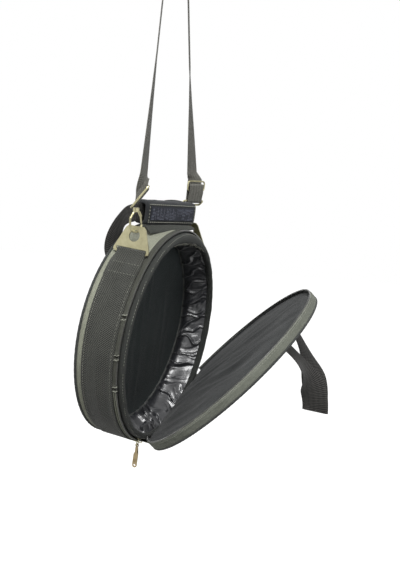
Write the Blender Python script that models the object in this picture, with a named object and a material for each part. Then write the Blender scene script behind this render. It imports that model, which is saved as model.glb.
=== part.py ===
"""Round padded shoulder bag for a ten inch tambourine, hanging open from its shoulder strap.

The bag is a flat drum of padded canvas. Its drum axis runs along Y and its mouth looks along -Y.
The world's origin is the point where the strap is hung up, and +Z is up.
All bag pieces are drawn in the bag's own frame, whose origin is the middle of the mouth, with the
lid shut. Empties then tip the bag and open the lid.
"""
from math import acos, cos, pi, radians, sin

import bmesh
import bpy
from mathutils import Quaternion, Vector

# Drum shell
RADIUS = 0.150              # outside of the canvas band
BODY_DEPTH = 0.062          # mouth to back, without the piping
LID_DEPTH = 0.016
CANVAS = 0.0012
FOAM = 0.0055
LINING = 0.0010
STIFFENER = 0.0016          # board that keeps the back flat
PIPING_RADIUS = 0.0025
SEAM_RADIUS = 0.0015        # bound seam between the two linings
SEAT = 0.0003               # gap that touching pieces keep
ROUND_STEPS = 72            # facets of a full turn

# Zip between body and lid
CHAIN_WIDTH = 0.0016        # row of teeth, across the tape
CHAIN_HEIGHT = 0.0020       # row of teeth, through the tape
CHAIN_GAP = 0.0020          # open space between the two rows
TAPE_WIDTH = 0.0066
TAPE = 0.0008
ZIP_MARGIN = 0.0006         # end of the tape to the fold of the lid
SLIDER_WIDTH = 0.0092
SLIDER_LENGTH = 0.0115
SLIDER_PLATE = 0.0012
SLIDER_CLEARANCE = 0.0004
SLIDER_POST = 0.0044        # length of the post along the chain
SLIDER_TURN = radians(155.5)     # where the slider sits, from the top towards -X
STOP_LENGTH = 0.0020
BAIL_RADIUS = 0.0008
BAIL_SPAN = 0.0060
BAIL_RISE = 0.0018               # plate to the middle of the bail's arc
LINK_LENGTH = 0.0075
TAB_LENGTH = 0.0300
TAB_WIDTH = 0.0068
TAB_NECK_SHARE = 0.55       # width of the neck as a share of the tab's width
TAB_THICKNESS = 0.0014
TAB_HOLE = 0.0016           # radius
TAB_EYE_GAP = 0.0004

# Lid hinge, a fold of the front cloth
HINGE_TURN = radians(199.5)      # middle of the fold, from the top towards -X
HINGE_SHARE = 0.8033             # drum axis to the fold, as a share of the radius
LID_OPEN = radians(42.0)
FOLD_CORD = 0.0007               # radius of the rolled cloth in the fold
FOLD_PIPING_GAP = 0.0030         # each piping's end to the fold

# Webbing round the body and the two triangle rings
WEB_SHARE = 0.742                # its width as a share of the body's depth
WEB = 0.0015
WEB_CENTRE_SHARE = 0.50          # its middle as a share of the body's depth
WEB_FOLD_SHARE = 0.89            # width drawn in at the ring, as a share of the full width
LAP_LENGTH = 0.036               # sewn double layer below each ring
LAP_LOW_SHARES = (1.0, 0.65, 0.30, -0.05)    # places along the lap, on its inner layer
LAP_HIGH_SHARES = (0.45, 0.65, 0.85, 1.05)   # and on its outer layer
LAP_END_SHARE = 1.3
RING_TURN = radians(38.0)        # ring bar, from the top
RING_LIFT = 0.0043               # ring bar off the band
RING_LEAN = radians(15.0)
RING_MARGIN = 0.004              # ring wider than the webbing by this much
RING_TOP = 0.022
RING_HEIGHT = 0.034
RING_PLATE = 0.0016
RING_BAR = 0.0034                # height of the bar below the slot
RING_SLOT = 0.0034
HOOK_CLEARANCE = 0.0010          # hook wire to the ring's hole
RING_HOLE = 0.0075               # radius
RING_WEB = 0.0055                # metal above the hole

# Snap hooks and their swivel eyes
WIRE = 0.0015                    # wire radius
HOOK_BEND = 0.0080               # radius of the hook's bend
HOOK_HEIGHT = 0.0255             # bend to swivel boss
HOOK_TURN = radians(35.0)        # hook plane, from X towards -Y
NOSE_HEIGHT = 0.0098
GATE_PIVOT_HEIGHT = 0.0212
GATE_PIVOT_SHARE = 0.80          # pivot's distance from the stem as a share of the bend
GATE = 0.0012                    # gate bar radius
GATE_CLEARANCE = 0.0005
PIN = 0.0006                     # pin radius
EAR = 0.00085                    # radius of the two ears that hold the pin
BOSS_RADIUS = 0.0042
BOSS_HEIGHT = 0.0055
EYE_LENGTH = 0.0340              # of its two long bars
EYE_WIDTH = 0.0110               # between the bars' middles
EYE_TURN_LEFT = radians(55.0)    # long bars, from X towards -Y
EYE_TURN_RIGHT = radians(31.0)
EYE_SLANT_LEFT = radians(52.0)   # the left eye is pulled aslant by the strap
EYE_SLANT_RIGHT = radians(0.0)
EYE_AIM_LEFT = (1.0, 0.35, 0.15)     # direction from the hook's bar to the strap's bar
EYE_AIM_RIGHT = (-0.9, -0.3, 0.5)

# Shoulder strap
HANG_DROP = 0.450                # hang point down to the ring holes
HANG_AHEAD = 0.006               # hang point in front of the ring holes
BAG_TIP = radians(6.3)           # the open lid tips the mouth down
STRAP_WIDTH = 0.025
STRAP = 0.0016
TOP_RUN = 0.014                  # flat run over the peg
TOP_SHARES = (0.9, 0.6, -0.6, -0.9)  # places of its cross-sections
TOP_TURN = radians(-12.0)        # width direction at the top, from X towards -Y
TURN_SHARE = 0.40                # lower part of each leg, where the strap turns to it
LEG_TURN_LEFT = radians(13.0)    # width direction above the eye
LEG_TURN_RIGHT = radians(31.0)
TAIL_LENGTH = 0.013
FOLD_RISE = 0.004                # the fold's layers stay level with the bar for this long
TWIST_RISE = 0.024               # from the eye's bar to the straight leg
ADJUSTER_RISE = 0.022            # right eye to the adjuster's middle bar
ADJUSTER_HEIGHT = 0.014          # between the outer bars' middles
ADJUSTER_WIRE = 0.0012           # wire radius
RETURN_TAIL = 0.005              # sewn end behind the adjuster's middle bar

# Carry handles
HANDLE_WIDTH = 0.034
HANDLE = 0.0016
HANDLE_SHARE = 0.3667            # each end from the middle, as a share of the radius
ANCHOR_HEIGHT = 0.092            # fold of each end above the drum axis
PATCH_LENGTH = 0.034
PATCH = 0.0018
HANDLE_TWIST = 0.8               # how far each loop turns sideways on its way up
REAR_LOOP_LEFT = ((0, 0.0720, 0.1030), (0, 0.0758, 0.1150), (0, 0.0758, 0.1300),
                  (0, 0.0715, 0.1480), (0, 0.0640, 0.1620))
REAR_LOOP_RIGHT = ((0, 0.0790, 0.1015), (0, 0.0862, 0.1110), (0.0020, 0.0872, 0.1270),
                   (0.0050, 0.0820, 0.1480), (0.0070, 0.0700, 0.1660),
                   (0.0065, 0.0450, 0.1725))
GRIP_SHARE = 0.7134              # its length as a share of the radius
GRIP_HEIGHT = 0.032
GRIP_DEPTH = 0.024
GRIP_WALL = 0.0035
GRIP_TURN = radians(15.0)
GRIP_ASIDE = 0.0020              # grip's middle to the right of the mouth's
GRIP_RISE = 0.0195               # grip's middle above the drum's top
GRIP_SETBACK = 0.0330            # grip's middle behind the mouth
HOOK_TAPE = 0.0011
HOOK_TAPE_MARGIN = 0.007
FLAP_WIDTH_LEFT = 0.014
FLAP_WIDTH_RIGHT = 0.002
FLAP = 0.0032
LID_HANDLE_LENGTH = 0.092        # below its ends
LID_HANDLE_REACH = 0.047         # in front of its ends
LID_HANDLE_START = 0.024         # it leaves the lid square for about this far

# Places in the bag's frame that follow from the sizes above
HINGE_CHORD = RADIUS * HINGE_SHARE
WEB_WIDTH = BODY_DEPTH * WEB_SHARE
RING_WIDTH = WEB_WIDTH + RING_MARGIN
HANDLE_SPREAD = RADIUS * HANDLE_SHARE
GRIP_LENGTH = RADIUS * GRIP_SHARE
BAND_INNER = RADIUS - CANVAS
FOAM_OUTER = BAND_INNER - SEAT
FOAM_INNER = FOAM_OUTER - FOAM
LINING_OUTER = FOAM_INNER - SEAT
LINING_INNER = LINING_OUTER - LINING
CHAIN_FRONT = CHAIN_GAP / 2
TAPE_FRONT = CHAIN_FRONT + CHAIN_WIDTH
TAPE_BACK = TAPE_FRONT + TAPE_WIDTH
BAND_FRONT = TAPE_BACK + SEAT
PAD_FRONT = SLIDER_WIDTH / 2 + 4 * SEAT
PIPING_SEAT = RADIUS - PIPING_RADIUS / 2
PIPING_INNER = PIPING_SEAT - PIPING_RADIUS
PIPING_REACH = PIPING_RADIUS * 3 / 2 + SEAT
BAND_BACK = BODY_DEPTH - PIPING_REACH
LID_BAND_FRONT = -LID_DEPTH + PIPING_REACH
FOLD_GAP = FOLD_CORD + SEAT
FOLD_HALF = acos(HINGE_CHORD / RADIUS)
ZIP_START = HINGE_TURN - FOLD_HALF
ZIP_END = HINGE_TURN + FOLD_HALF - 2 * pi
TOWARDS_FOLD = Vector((-sin(HINGE_TURN), 0, cos(HINGE_TURN)))
FOLD_AXIS = Vector((-cos(HINGE_TURN), 0, -sin(HINGE_TURN)))
FOLD_POINT = TOWARDS_FOLD * HINGE_CHORD + Vector((0, -LID_DEPTH, 0))
WEB_CENTRE = BODY_DEPTH * WEB_CENTRE_SHARE
BAR_RADIUS = RADIUS + RING_LIFT
HOOK_REACH = RING_HEIGHT - RING_WEB - WIRE - HOOK_CLEARANCE
AXIS_X = BAR_RADIUS * sin(RING_TURN) - HOOK_REACH * sin(RING_LEAN)
AXIS_Z = BAR_RADIUS * cos(RING_TURN) + HOOK_REACH * cos(RING_LEAN)
SWING_POINT = Vector((0, WEB_CENTRE, AXIS_Z))

QUARTER_TURN = pi / 2

# How finely round and curved pieces are cut up
SHARP_ANGLE = radians(40.0)
FLAT_ANGLE = radians(0.2)        # a face bent by more than this is split
WIRE_SIDES = 8
THIN_SIDES = 6
BOSS_SIDES = 16
HOLE_SIDES = 24
WEB_STEPS = 40
FOLD_STEPS = 4
CORNER_STEPS = 3
BEND_STEPS = 10
LEG_STEPS = 10
LOOP_STEPS = 3
LID_HANDLE_STEPS = 12


def linear(hex_colour):
    """Turn an sRGB hex colour into Blender's linear values."""
    channels = [int(hex_colour[i:i + 2], 16) / 255 for i in (0, 2, 4)]
    return [c / 12.92 if c <= 0.04045 else ((c + 0.055) / 1.055) ** 2.4 for c in channels] + [1.0]


def material(name, hex_colour, roughness, metallic=0.0):
    """A Principled material of one colour."""
    made = bpy.data.materials.new(name)
    made.use_nodes = True
    made.diffuse_color = linear(hex_colour)
    shader = made.node_tree.nodes["Principled BSDF"]
    shader.inputs["Base Color"].default_value = linear(hex_colour)
    shader.inputs["Roughness"].default_value = roughness
    shader.inputs["Metallic"].default_value = metallic
    return made


class Frame:
    """An empty that pieces hang on, and the point of the drawing that lies on it."""

    def __init__(self, name, parent, point, turn=None):
        self.point = Vector(point)
        self.empty = bpy.data.objects.new(name, None)
        bpy.context.scene.collection.objects.link(self.empty)
        self.empty.rotation_mode = 'QUATERNION'
        self.empty.rotation_quaternion = turn or Quaternion()
        if parent:
            self.empty.parent = parent.empty
            self.empty.location = self.point - parent.point


def add_object(name, mesh, frame, finish):
    """Put a mesh into the scene on its frame."""
    made = bpy.data.objects.new(name, mesh)
    bpy.context.scene.collection.objects.link(made)
    mesh.materials.append(finish)
    made.parent = frame.empty
    made.location = -frame.point
    return made


def finish_mesh(name, bm, smooth=True):
    """Close a bmesh into a mesh with its faces pointing out."""
    bmesh.ops.recalc_face_normals(bm, faces=bm.faces)
    mesh = bpy.data.meshes.new(name)
    bm.to_mesh(mesh)
    bm.free()
    if smooth:
        mesh.shade_smooth()
        mesh.set_sharp_from_angle(angle=SHARP_ANGLE)
    return mesh


def loft_into(bm, sections, closed=False):
    """Skin a run of cross-sections. An open run gets a cap at each end."""
    rings = [[bm.verts.new(point) for point in section] for section in sections]
    pairs = list(zip(rings, rings[1:]))
    if closed:
        pairs.append((rings[-1], rings[0]))
    for first, second in pairs:
        for i in range(len(first)):
            j = (i + 1) % len(first)
            bm.faces.new((first[i], first[j], second[j], second[i]))
    if not closed:
        bm.faces.new(rings[0][::-1])
        bm.faces.new(rings[-1])


def loft(name, sections, frame, finish, closed=False):
    """One object skinned over a run of cross-sections, its twisted faces split into flat ones."""
    bm = bmesh.new()
    loft_into(bm, sections, closed)
    bmesh.ops.connect_verts_nonplanar(bm, angle_limit=FLAT_ANGLE, faces=bm.faces)
    return add_object(name, finish_mesh(name, bm), frame, finish)


def around(turn, radius, y):
    """A point of the drum: turned from the top towards -X, at a radius and a depth."""
    return Vector((-radius * sin(turn), y, radius * cos(turn)))


def turned_sections(profile, start, end):
    """The cross-sections of a profile of (radius, y) pairs, turned round the drum axis."""
    steps = max(2, round(abs(end - start) / (2 * pi) * ROUND_STEPS))
    turns = [start + (end - start) * i / steps for i in range(steps + 1)]
    return [[around(turn, radius, y) for radius, y in profile] for turn in turns]


def ring(name, profile, frame, finish, start=None, end=None):
    """A turned ring, or an arc of one where its ends are given."""
    if start is None:
        sections = turned_sections(profile, 0.0, 2 * pi)[:-1]
        return loft(name, sections, frame, finish, closed=True)
    return loft(name, turned_sections(profile, start, end), frame, finish)


def box_profile(inner, outer, front, back):
    """A rectangular profile of a ring."""
    return [(inner, front), (outer, front), (outer, back), (inner, back)]


def round_profile(radius, y, thickness, sides=WIRE_SIDES):
    """A round profile of a ring."""
    turns = [2 * pi * (i + 0.5) / sides for i in range(sides)]
    return [(radius + thickness * cos(t), y + thickness * sin(t)) for t in turns]


def extrude(name, outline, front, back, frame, finish):
    """A plate of an (x, z) outline between two depths."""
    sections = [[Vector((x, y, z)) for x, z in outline] for y in (front, back)]
    return loft(name, sections, frame, finish)


def disc_outline(radius):
    """A full disc."""
    turns = [2 * pi * i / ROUND_STEPS for i in range(ROUND_STEPS)]
    return [(-radius * sin(t), radius * cos(t)) for t in turns]


def cut_outline(radius, start, end):
    """The part of a disc between two turns, cut off straight from one to the other."""
    steps = round((end - start) / (2 * pi) * ROUND_STEPS)
    turns = [start + (end - start) * i / steps for i in range(steps + 1)]
    return [(-radius * sin(t), radius * cos(t)) for t in turns]


def wire_sections(points, radius, sides=WIRE_SIDES, closed=False):
    """Round cross-sections along a path, carried along without twist."""
    points = [Vector(p) for p in points]
    count = len(points)
    directions = []
    for i in range(count):
        before = points[i - 1] if i or closed else points[i]
        after = points[(i + 1) % count] if i < count - 1 or closed else points[i]
        directions.append((after - before).normalized())
    side = directions[0].orthogonal().normalized()
    sections = []
    for point, direction in zip(points, directions):
        side = (side - direction * side.dot(direction)).normalized()
        other = direction.cross(side)
        turns = [2 * pi * i / sides for i in range(sides)]
        sections.append([point + (side * cos(t) + other * sin(t)) * radius for t in turns])
    return sections


def plane_loop(points, origin, across, up):
    """Lay flat (s, t) points into space."""
    return [origin + across * s + up * t for s, t in points]


def arc(centre, radius, start, end, steps):
    """Points of an arc in a plane, from one angle to another."""
    turns = [start + (end - start) * i / steps for i in range(steps + 1)]
    return [(centre[0] + radius * cos(t), centre[1] + radius * sin(t)) for t in turns]


def ribbon_sections(stations, thickness):
    """Flat webbing through stations of (middle, half width vector, face normal)."""
    sections = []
    for middle, half_width, normal in stations:
        lift = normal.normalized() * thickness / 2
        sections.append([middle - half_width - lift, middle + half_width - lift,
                         middle + half_width + lift, middle - half_width + lift])
    return sections


def smooth_path(points, steps):
    """A smooth curve through points."""
    padded = [points[0] * 2 - points[1]] + points + [points[-1] * 2 - points[-2]]
    path = []
    for a, b, c, d in zip(padded, padded[1:], padded[2:], padded[3:]):
        for i in range(steps):
            t = i / steps
            path.append((b * 2 + (c - a) * t + (a * 2 - b * 5 + c * 4 - d) * t * t
                         + (b * 3 - a - c * 3 + d) * t ** 3) / 2)
    return path + [points[-1]]


def smooth_share(share):
    """Ease a share from nought to one."""
    return share * share * (3 - 2 * share)


def build_band(shell, canvas, foam, lining):
    """Side of the drum: canvas outside, foam, and the shiny lining inside."""
    ring("side_band", box_profile(BAND_INNER, RADIUS, BAND_FRONT, BAND_BACK), shell, canvas)
    back_stack = CANVAS + STIFFENER + FOAM + 4 * SEAT
    ring("band_foam", box_profile(FOAM_INNER, FOAM_OUTER, PAD_FRONT, BAND_BACK), shell, foam)
    lining_back = BODY_DEPTH - back_stack - LINING
    ring("side_lining", box_profile(LINING_INNER, LINING_OUTER, PAD_FRONT, lining_back),
         shell, lining)


def build_back(shell, canvas, board, foam, lining, binding):
    """Back of the drum in layers from the outside in, with piping and an inner bound seam."""
    layers = (("back_canvas", CANVAS, PIPING_INNER - SEAT, canvas),
              ("back_stiffener", STIFFENER, FOAM_INNER - SEAT, board),
              ("back_foam", FOAM, FOAM_INNER - SEAT, foam),
              ("back_lining", LINING, LINING_INNER - SEAT, lining))
    back = BODY_DEPTH
    for name, thickness, radius, finish in layers:
        extrude(name, disc_outline(radius), back - thickness, back, shell, finish)
        back -= thickness + SEAT
    seam_y = back - SEAM_RADIUS
    seam_radius = LINING_INNER - SEAM_RADIUS - SEAT
    seam = round_profile(seam_radius, seam_y, SEAM_RADIUS, THIN_SIDES)
    ring("lining_seam", seam, shell, binding)
    piping_y = BODY_DEPTH - PIPING_RADIUS / 2
    ring("rear_piping", round_profile(PIPING_SEAT, piping_y, PIPING_RADIUS), shell, binding)


def tape_profile(side):
    """Zip tape with its row of teeth. Side is 1 for the body and -1 for the lid."""
    tape_outer = RADIUS - SEAT
    chain_outer = RADIUS + SEAT
    chain_inner = chain_outer - CHAIN_HEIGHT
    points = [(tape_outer - TAPE, TAPE_BACK), (tape_outer, TAPE_BACK), (tape_outer, TAPE_FRONT),
              (chain_outer, TAPE_FRONT), (chain_outer, CHAIN_FRONT), (chain_inner, CHAIN_FRONT),
              (chain_inner, TAPE_FRONT), (tape_outer - TAPE, TAPE_FRONT)]
    return [(radius, y * side) for radius, y in points]


def zip_span():
    """The turns at which the zip starts and ends."""
    margin = ZIP_MARGIN / RADIUS
    return ZIP_END + margin, ZIP_START - margin


def build_body_zip(shell, tape, metal):
    """The body's half of the zip, with a stop at each end of the chain."""
    start, end = zip_span()
    ring("body_zip_tape", tape_profile(1), shell, tape, start, end)
    length = STOP_LENGTH / RADIUS
    inner = RADIUS + 2 * SEAT
    profile = box_profile(inner, inner + TAPE, CHAIN_FRONT, TAPE_FRONT)
    ring("zip_stop_right", profile, shell, metal, start, start + length)
    ring("zip_stop_left", profile, shell, metal, end - length, end)


def build_slider(shell, metal):
    """Zip slider: two plates joined by a post that runs between the rows of teeth.

    The inner plate only reaches under the body's row, so the stiff lid can swing past it.
    """
    frame = Frame("zip_axis", shell, (0, 0, 0))
    half_turn = SLIDER_LENGTH / 2 / RADIUS
    post_turn = SLIDER_POST / 2 / RADIUS
    outer = RADIUS + SEAT + SLIDER_CLEARANCE
    inner = RADIUS + SEAT - CHAIN_HEIGHT - SLIDER_CLEARANCE
    half = SLIDER_WIDTH / 2
    post = (CHAIN_GAP - 2 * SLIDER_CLEARANCE) / 2
    lip = post + SEAT
    low = (inner - SLIDER_PLATE, inner)
    high = (outer, outer + SLIDER_PLATE)
    flat = [(low[0], -lip), (low[0], half), (low[1], half), (low[1], post),
            (high[0], post), (high[0], half), (high[1], half), (high[1], -half),
            (high[0], -half), (high[0], -post), (low[1], -post), (low[1], -lip)]
    bm = bmesh.new()
    turns = [SLIDER_TURN + t for t in (-half_turn, -post_turn, post_turn, half_turn)]
    rows = [[bm.verts.new(around(t, radius, y)) for radius, y in flat] for t in turns]
    low_part, high_part = (0, 1, 2, 3, 10, 11), (4, 5, 6, 7, 8, 9)
    for part, sides in ((low_part, ((11, 0), (0, 1), (1, 2), (2, 3), (10, 11))),
                        (high_part, ((4, 5), (5, 6), (6, 7), (7, 8), (8, 9)))):
        for first, second in zip(rows, rows[1:]):
            for i, j in sides:
                bm.faces.new((first[i], first[j], second[j], second[i]))
        bm.faces.new([rows[0][i] for i in part])
        bm.faces.new([rows[-1][i] for i in part])
    for first, second in ((rows[0], rows[1]), (rows[2], rows[3])):
        bm.faces.new((first[3], first[10], second[10], second[3]))
        bm.faces.new((first[9], first[4], second[4], second[9]))
    first, second = rows[1], rows[2]
    for i, j in ((3, 4), (9, 10)):
        bm.faces.new((first[i], first[j], second[j], second[i]))
    for row in (first, second):
        bm.faces.new((row[3], row[4], row[9], row[10]))
    body = add_object("zip_slider", finish_mesh("zip_slider", bm, smooth=False), frame, metal)
    bail_base = high[1] - SLIDER_PLATE / 2
    up, along = around(SLIDER_TURN, 1, 0), around(SLIDER_TURN + QUARTER_TURN, 1, 0)
    shoulder = BAIL_SPAN / 2
    crown = arc((0, BAIL_RISE), shoulder, pi, 0, 2 * FOLD_STEPS)
    path = [(-shoulder, 0)] + crown + [(shoulder, 0)]
    points = plane_loop(path, up * bail_base, along, up)
    bail = loft("zip_bail_part", wire_sections(points, BAIL_RADIUS, THIN_SIDES), frame, metal)
    unite(body, bail)
    return frame, bail_base


def unite(body, addition):
    """Fuse a second shape of the same piece into its body."""
    fuse = body.modifiers.new("fuse", 'BOOLEAN')
    fuse.operation = 'UNION'
    fuse.object = addition
    hide_tool(addition)


def hide_tool(tool):
    """Keep a cutter or a fused shape out of the finished model."""
    tool.hide_render = True
    tool.display_type = 'WIRE'


def drill(body, name, points, radius, frame, finish, sides=BOSS_SIDES):
    """Cut a round hole along a straight line."""
    cutter = loft(name, wire_sections(points, radius, sides), frame, finish)
    cut = body.modifiers.new(name, 'BOOLEAN')
    cut.operation = 'DIFFERENCE'
    cut.object = cutter
    hide_tool(cutter)


def build_pull(zip_frame, bail_base, metal):
    """Pull tab: a flat tag whose eye hangs in the slider's bail and slides round its arc."""
    up = around(SLIDER_TURN, 1, 0)
    arc_centre = up * (bail_base + BAIL_RISE)
    frame = Frame("pull_axis", zip_frame, arc_centre)
    down = Vector((0, 0, -1))
    side = Vector((1, 0, 0))
    across = Vector((0, 1, 0))
    link = arc_centre + down * BAIL_SPAN / 2
    eye = BAIL_RADIUS + TAB_EYE_GAP + BAIL_RADIUS
    loop = plane_loop(arc((0, 0), eye, 0, 2 * pi, 2 * THIN_SIDES)[:-1], link, across, down)
    tab_top = link + down * (eye + BAIL_RADIUS / 2)
    bm = bmesh.new()
    loft_into(bm, wire_sections(loop, BAIL_RADIUS, THIN_SIDES, closed=True), closed=True)
    tab = add_object("pull_tab", finish_mesh("pull_tab", bm), frame, metal)
    half, neck = TAB_WIDTH / 2, TAB_WIDTH / 2 * TAB_NECK_SHARE
    outline = [(-neck, 0), (-neck, LINK_LENGTH), (-half, LINK_LENGTH + half)]
    outline += arc((0, TAB_LENGTH - half), half, pi, 0, 2 * FOLD_STEPS)
    outline += [(half, LINK_LENGTH + half), (neck, LINK_LENGTH), (neck, 0)]
    thick = side * TAB_THICKNESS / 2
    blade = loft("pull_blade_part", [plane_loop(outline, tab_top - thick, across, down),
                                     plane_loop(outline, tab_top + thick, across, down)],
                 frame, metal)
    unite(tab, blade)
    hole = tab_top + down * (TAB_LENGTH - half)
    drill(tab, "pull_hole_cutter", [hole - side * TAB_WIDTH, hole + side * TAB_WIDTH], TAB_HOLE,
          frame, metal)
    return frame


def build_webbing(shell, webbing):
    """Wide webbing round the side and bottom, each end folded round a ring's bar and sewn down."""
    lap = LAP_LENGTH / RADIUS
    low = RADIUS + SEAT + WEB / 2
    high = low + WEB + SEAT
    bend = RING_PLATE / 2 + SEAT + WEB / 2
    half_path = [around(RING_TURN + lap * share, low, 0) for share in LAP_LOW_SHARES]
    bar = around(RING_TURN, BAR_RADIUS, 0)
    along = Vector((sin(RING_LEAN), 0, cos(RING_LEAN)))
    side = Vector((cos(RING_LEAN), 0, -sin(RING_LEAN)))
    crown = bar + along * RING_BAR / 2
    for i in range(FOLD_STEPS + 1):
        turn = pi * i / FOLD_STEPS
        half_path.append(crown + (side * cos(turn) + along * sin(turn)) * bend)
    half_path.append(bar - side * bend - along * RING_BAR)
    fold_end = len(half_path)
    half_path += [around(RING_TURN + lap * share, high, 0) for share in LAP_HIGH_SHARES]
    first, last = RING_TURN + lap * LAP_END_SHARE, pi
    turns = [first + (last - first) * i / WEB_STEPS for i in range(WEB_STEPS)]
    path = half_path + [around(turn, low, 0) for turn in turns]
    path += [Vector((-p.x, p.y, p.z)) for p in reversed(path)]
    stations = []
    for i, point in enumerate(path):
        before, after = path[max(i - 1, 0)], path[min(i + 1, len(path) - 1)]
        from_end = min(i, len(path) - 1 - i)
        drawn_in = WEB_FOLD_SHARE if 1 < from_end < fold_end else 1
        half_width = Vector((0, WEB_WIDTH / 2 * drawn_in, 0))
        normal = (after - before).cross(half_width)
        stations.append((point + Vector((0, WEB_CENTRE, 0)), half_width, normal))
    loft("side_webbing", ribbon_sections(stations, WEB), shell, webbing)


def build_ring(shell, name, mirror, metal):
    """Triangle ring: a stamped plate with a bar for the webbing and a round hole for the hook."""
    bar = around(RING_TURN, BAR_RADIUS, WEB_CENTRE)
    bar.x *= -mirror
    frame = Frame(name + "_axis", shell, bar)
    up = Vector((-mirror * sin(RING_LEAN), 0, cos(RING_LEAN)))
    across = Vector((0, 1, 0))
    normal = across.cross(up)
    half, top = RING_WIDTH / 2, RING_TOP / 2
    foot = RING_BAR / 2
    bevel = RING_BAR
    outline = [(-half + bevel, -foot), (half - bevel, -foot), (half, 0), (half, bevel),
               (top + bevel, RING_HEIGHT - bevel), (top, RING_HEIGHT),
               (-top, RING_HEIGHT), (-top - bevel, RING_HEIGHT - bevel), (-half, bevel), (-half, 0)]
    thick = normal * RING_PLATE / 2
    plate = loft(name, [plane_loop(outline, bar - thick, across, up),
                        plane_loop(outline, bar + thick, across, up)], frame, metal)
    slot = WEB_WIDTH / 2 * WEB_FOLD_SHARE + 2 * SEAT
    slot_low = foot
    slot_outline = [(-slot, slot_low), (slot, slot_low), (slot, slot_low + RING_SLOT),
                    (-slot, slot_low + RING_SLOT)]
    deep = normal * RING_PLATE
    cutter = loft(name + "_slot_cutter", [plane_loop(slot_outline, bar - deep, across, up),
                                          plane_loop(slot_outline, bar + deep, across, up)],
                  frame, metal)
    cut = plate.modifiers.new("slot", 'BOOLEAN')
    cut.operation = 'DIFFERENCE'
    cut.object = cutter
    hide_tool(cutter)
    hole = bar + up * (RING_HEIGHT - RING_WEB - RING_HOLE)
    drill(plate, name + "_hole_cutter", [hole - deep, hole + deep], RING_HOLE, frame, metal,
          HOLE_SIDES)
    return frame


def build_lower_front(shell, canvas, foam, lining, binding):
    """The part of the front below the fold, which stays sewn to the body."""
    chord = HINGE_CHORD + FOLD_GAP
    outer = -LID_DEPTH
    for name, thickness, radius, finish in (
            ("lower_canvas", CANVAS, PIPING_INNER - SEAT, canvas),
            ("lower_foam", FOAM, PIPING_INNER - SEAT, foam),
            ("lower_lining", LINING, FOAM_OUTER, lining)):
        half = acos(chord / radius)
        outline = cut_outline(radius, HINGE_TURN - half, HINGE_TURN + half)
        extrude(name, outline, outer, outer + thickness, shell, finish)
        outer += thickness + SEAT
    margin = FOLD_GAP / RADIUS
    start, end = ZIP_START + margin, ZIP_END + 2 * pi - margin
    profile = box_profile(BAND_INNER, RADIUS, LID_BAND_FRONT, TAPE_BACK)
    ring("lower_band", profile, shell, canvas, start, end)
    piping_y = -LID_DEPTH + PIPING_RADIUS / 2
    profile = round_profile(PIPING_SEAT, piping_y, PIPING_RADIUS)
    margin = FOLD_PIPING_GAP / RADIUS
    ring("lower_piping", profile, shell, binding, start + margin, end - margin)


def build_fold(shell, canvas):
    """The fold itself: a roll of the front cloth along the hinge line."""
    reach = (PIPING_INNER ** 2 - HINGE_CHORD ** 2) ** 0.5 - FOLD_CORD
    points = [FOLD_POINT + FOLD_AXIS * s for s in (-reach, reach)]
    loft("hinge_fold", wire_sections(points, FOLD_CORD), shell, canvas)


def build_lid(shell, canvas, foam, lining, binding, tape):
    """The lid above the fold: a shallow padded dish with its own half of the zip."""
    frame = Frame("lid_axis", shell, FOLD_POINT, Quaternion(FOLD_AXIS, LID_OPEN))
    outer = -LID_DEPTH
    for name, thickness, radius, finish in (
            ("lid_canvas", CANVAS, PIPING_INNER - SEAT, canvas),
            ("lid_foam", FOAM, PIPING_INNER - SEAT, foam),
            ("lid_lining", LINING, FOAM_OUTER, lining)):
        half = acos((HINGE_CHORD - FOLD_GAP) / radius)
        outline = cut_outline(radius, HINGE_TURN + half, HINGE_TURN - half + 2 * pi)
        extrude(name, outline, outer, outer + thickness, frame, finish)
        outer += thickness + SEAT
    start, end = zip_span()
    ring("lid_zip_tape", tape_profile(-1), frame, tape, start, end)
    profile = box_profile(BAND_INNER, RADIUS, LID_BAND_FRONT, -TAPE_BACK - SEAT)
    ring("lid_band", profile, frame, canvas, start, end)
    piping_y = -LID_DEPTH + PIPING_RADIUS / 2
    profile = round_profile(PIPING_SEAT, piping_y, PIPING_RADIUS)
    margin = FOLD_PIPING_GAP / RADIUS
    ring("lid_piping", profile, frame, binding, start + margin, end - margin)
    return frame


def build_patches(name, y, frame, finish):
    """Two sewn patches that hold a handle's ends on a panel."""
    half = HANDLE_WIDTH / 2
    low, high = ANCHOR_HEIGHT - PATCH_LENGTH, ANCHOR_HEIGHT
    for side_name, middle in (("left", -HANDLE_SPREAD), ("right", HANDLE_SPREAD)):
        outline = [(middle - half, low), (middle + half, low), (middle + half, high),
                   (middle - half, high)]
        extrude(name + "_" + side_name, outline, y, y + PATCH, frame, finish)


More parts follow.
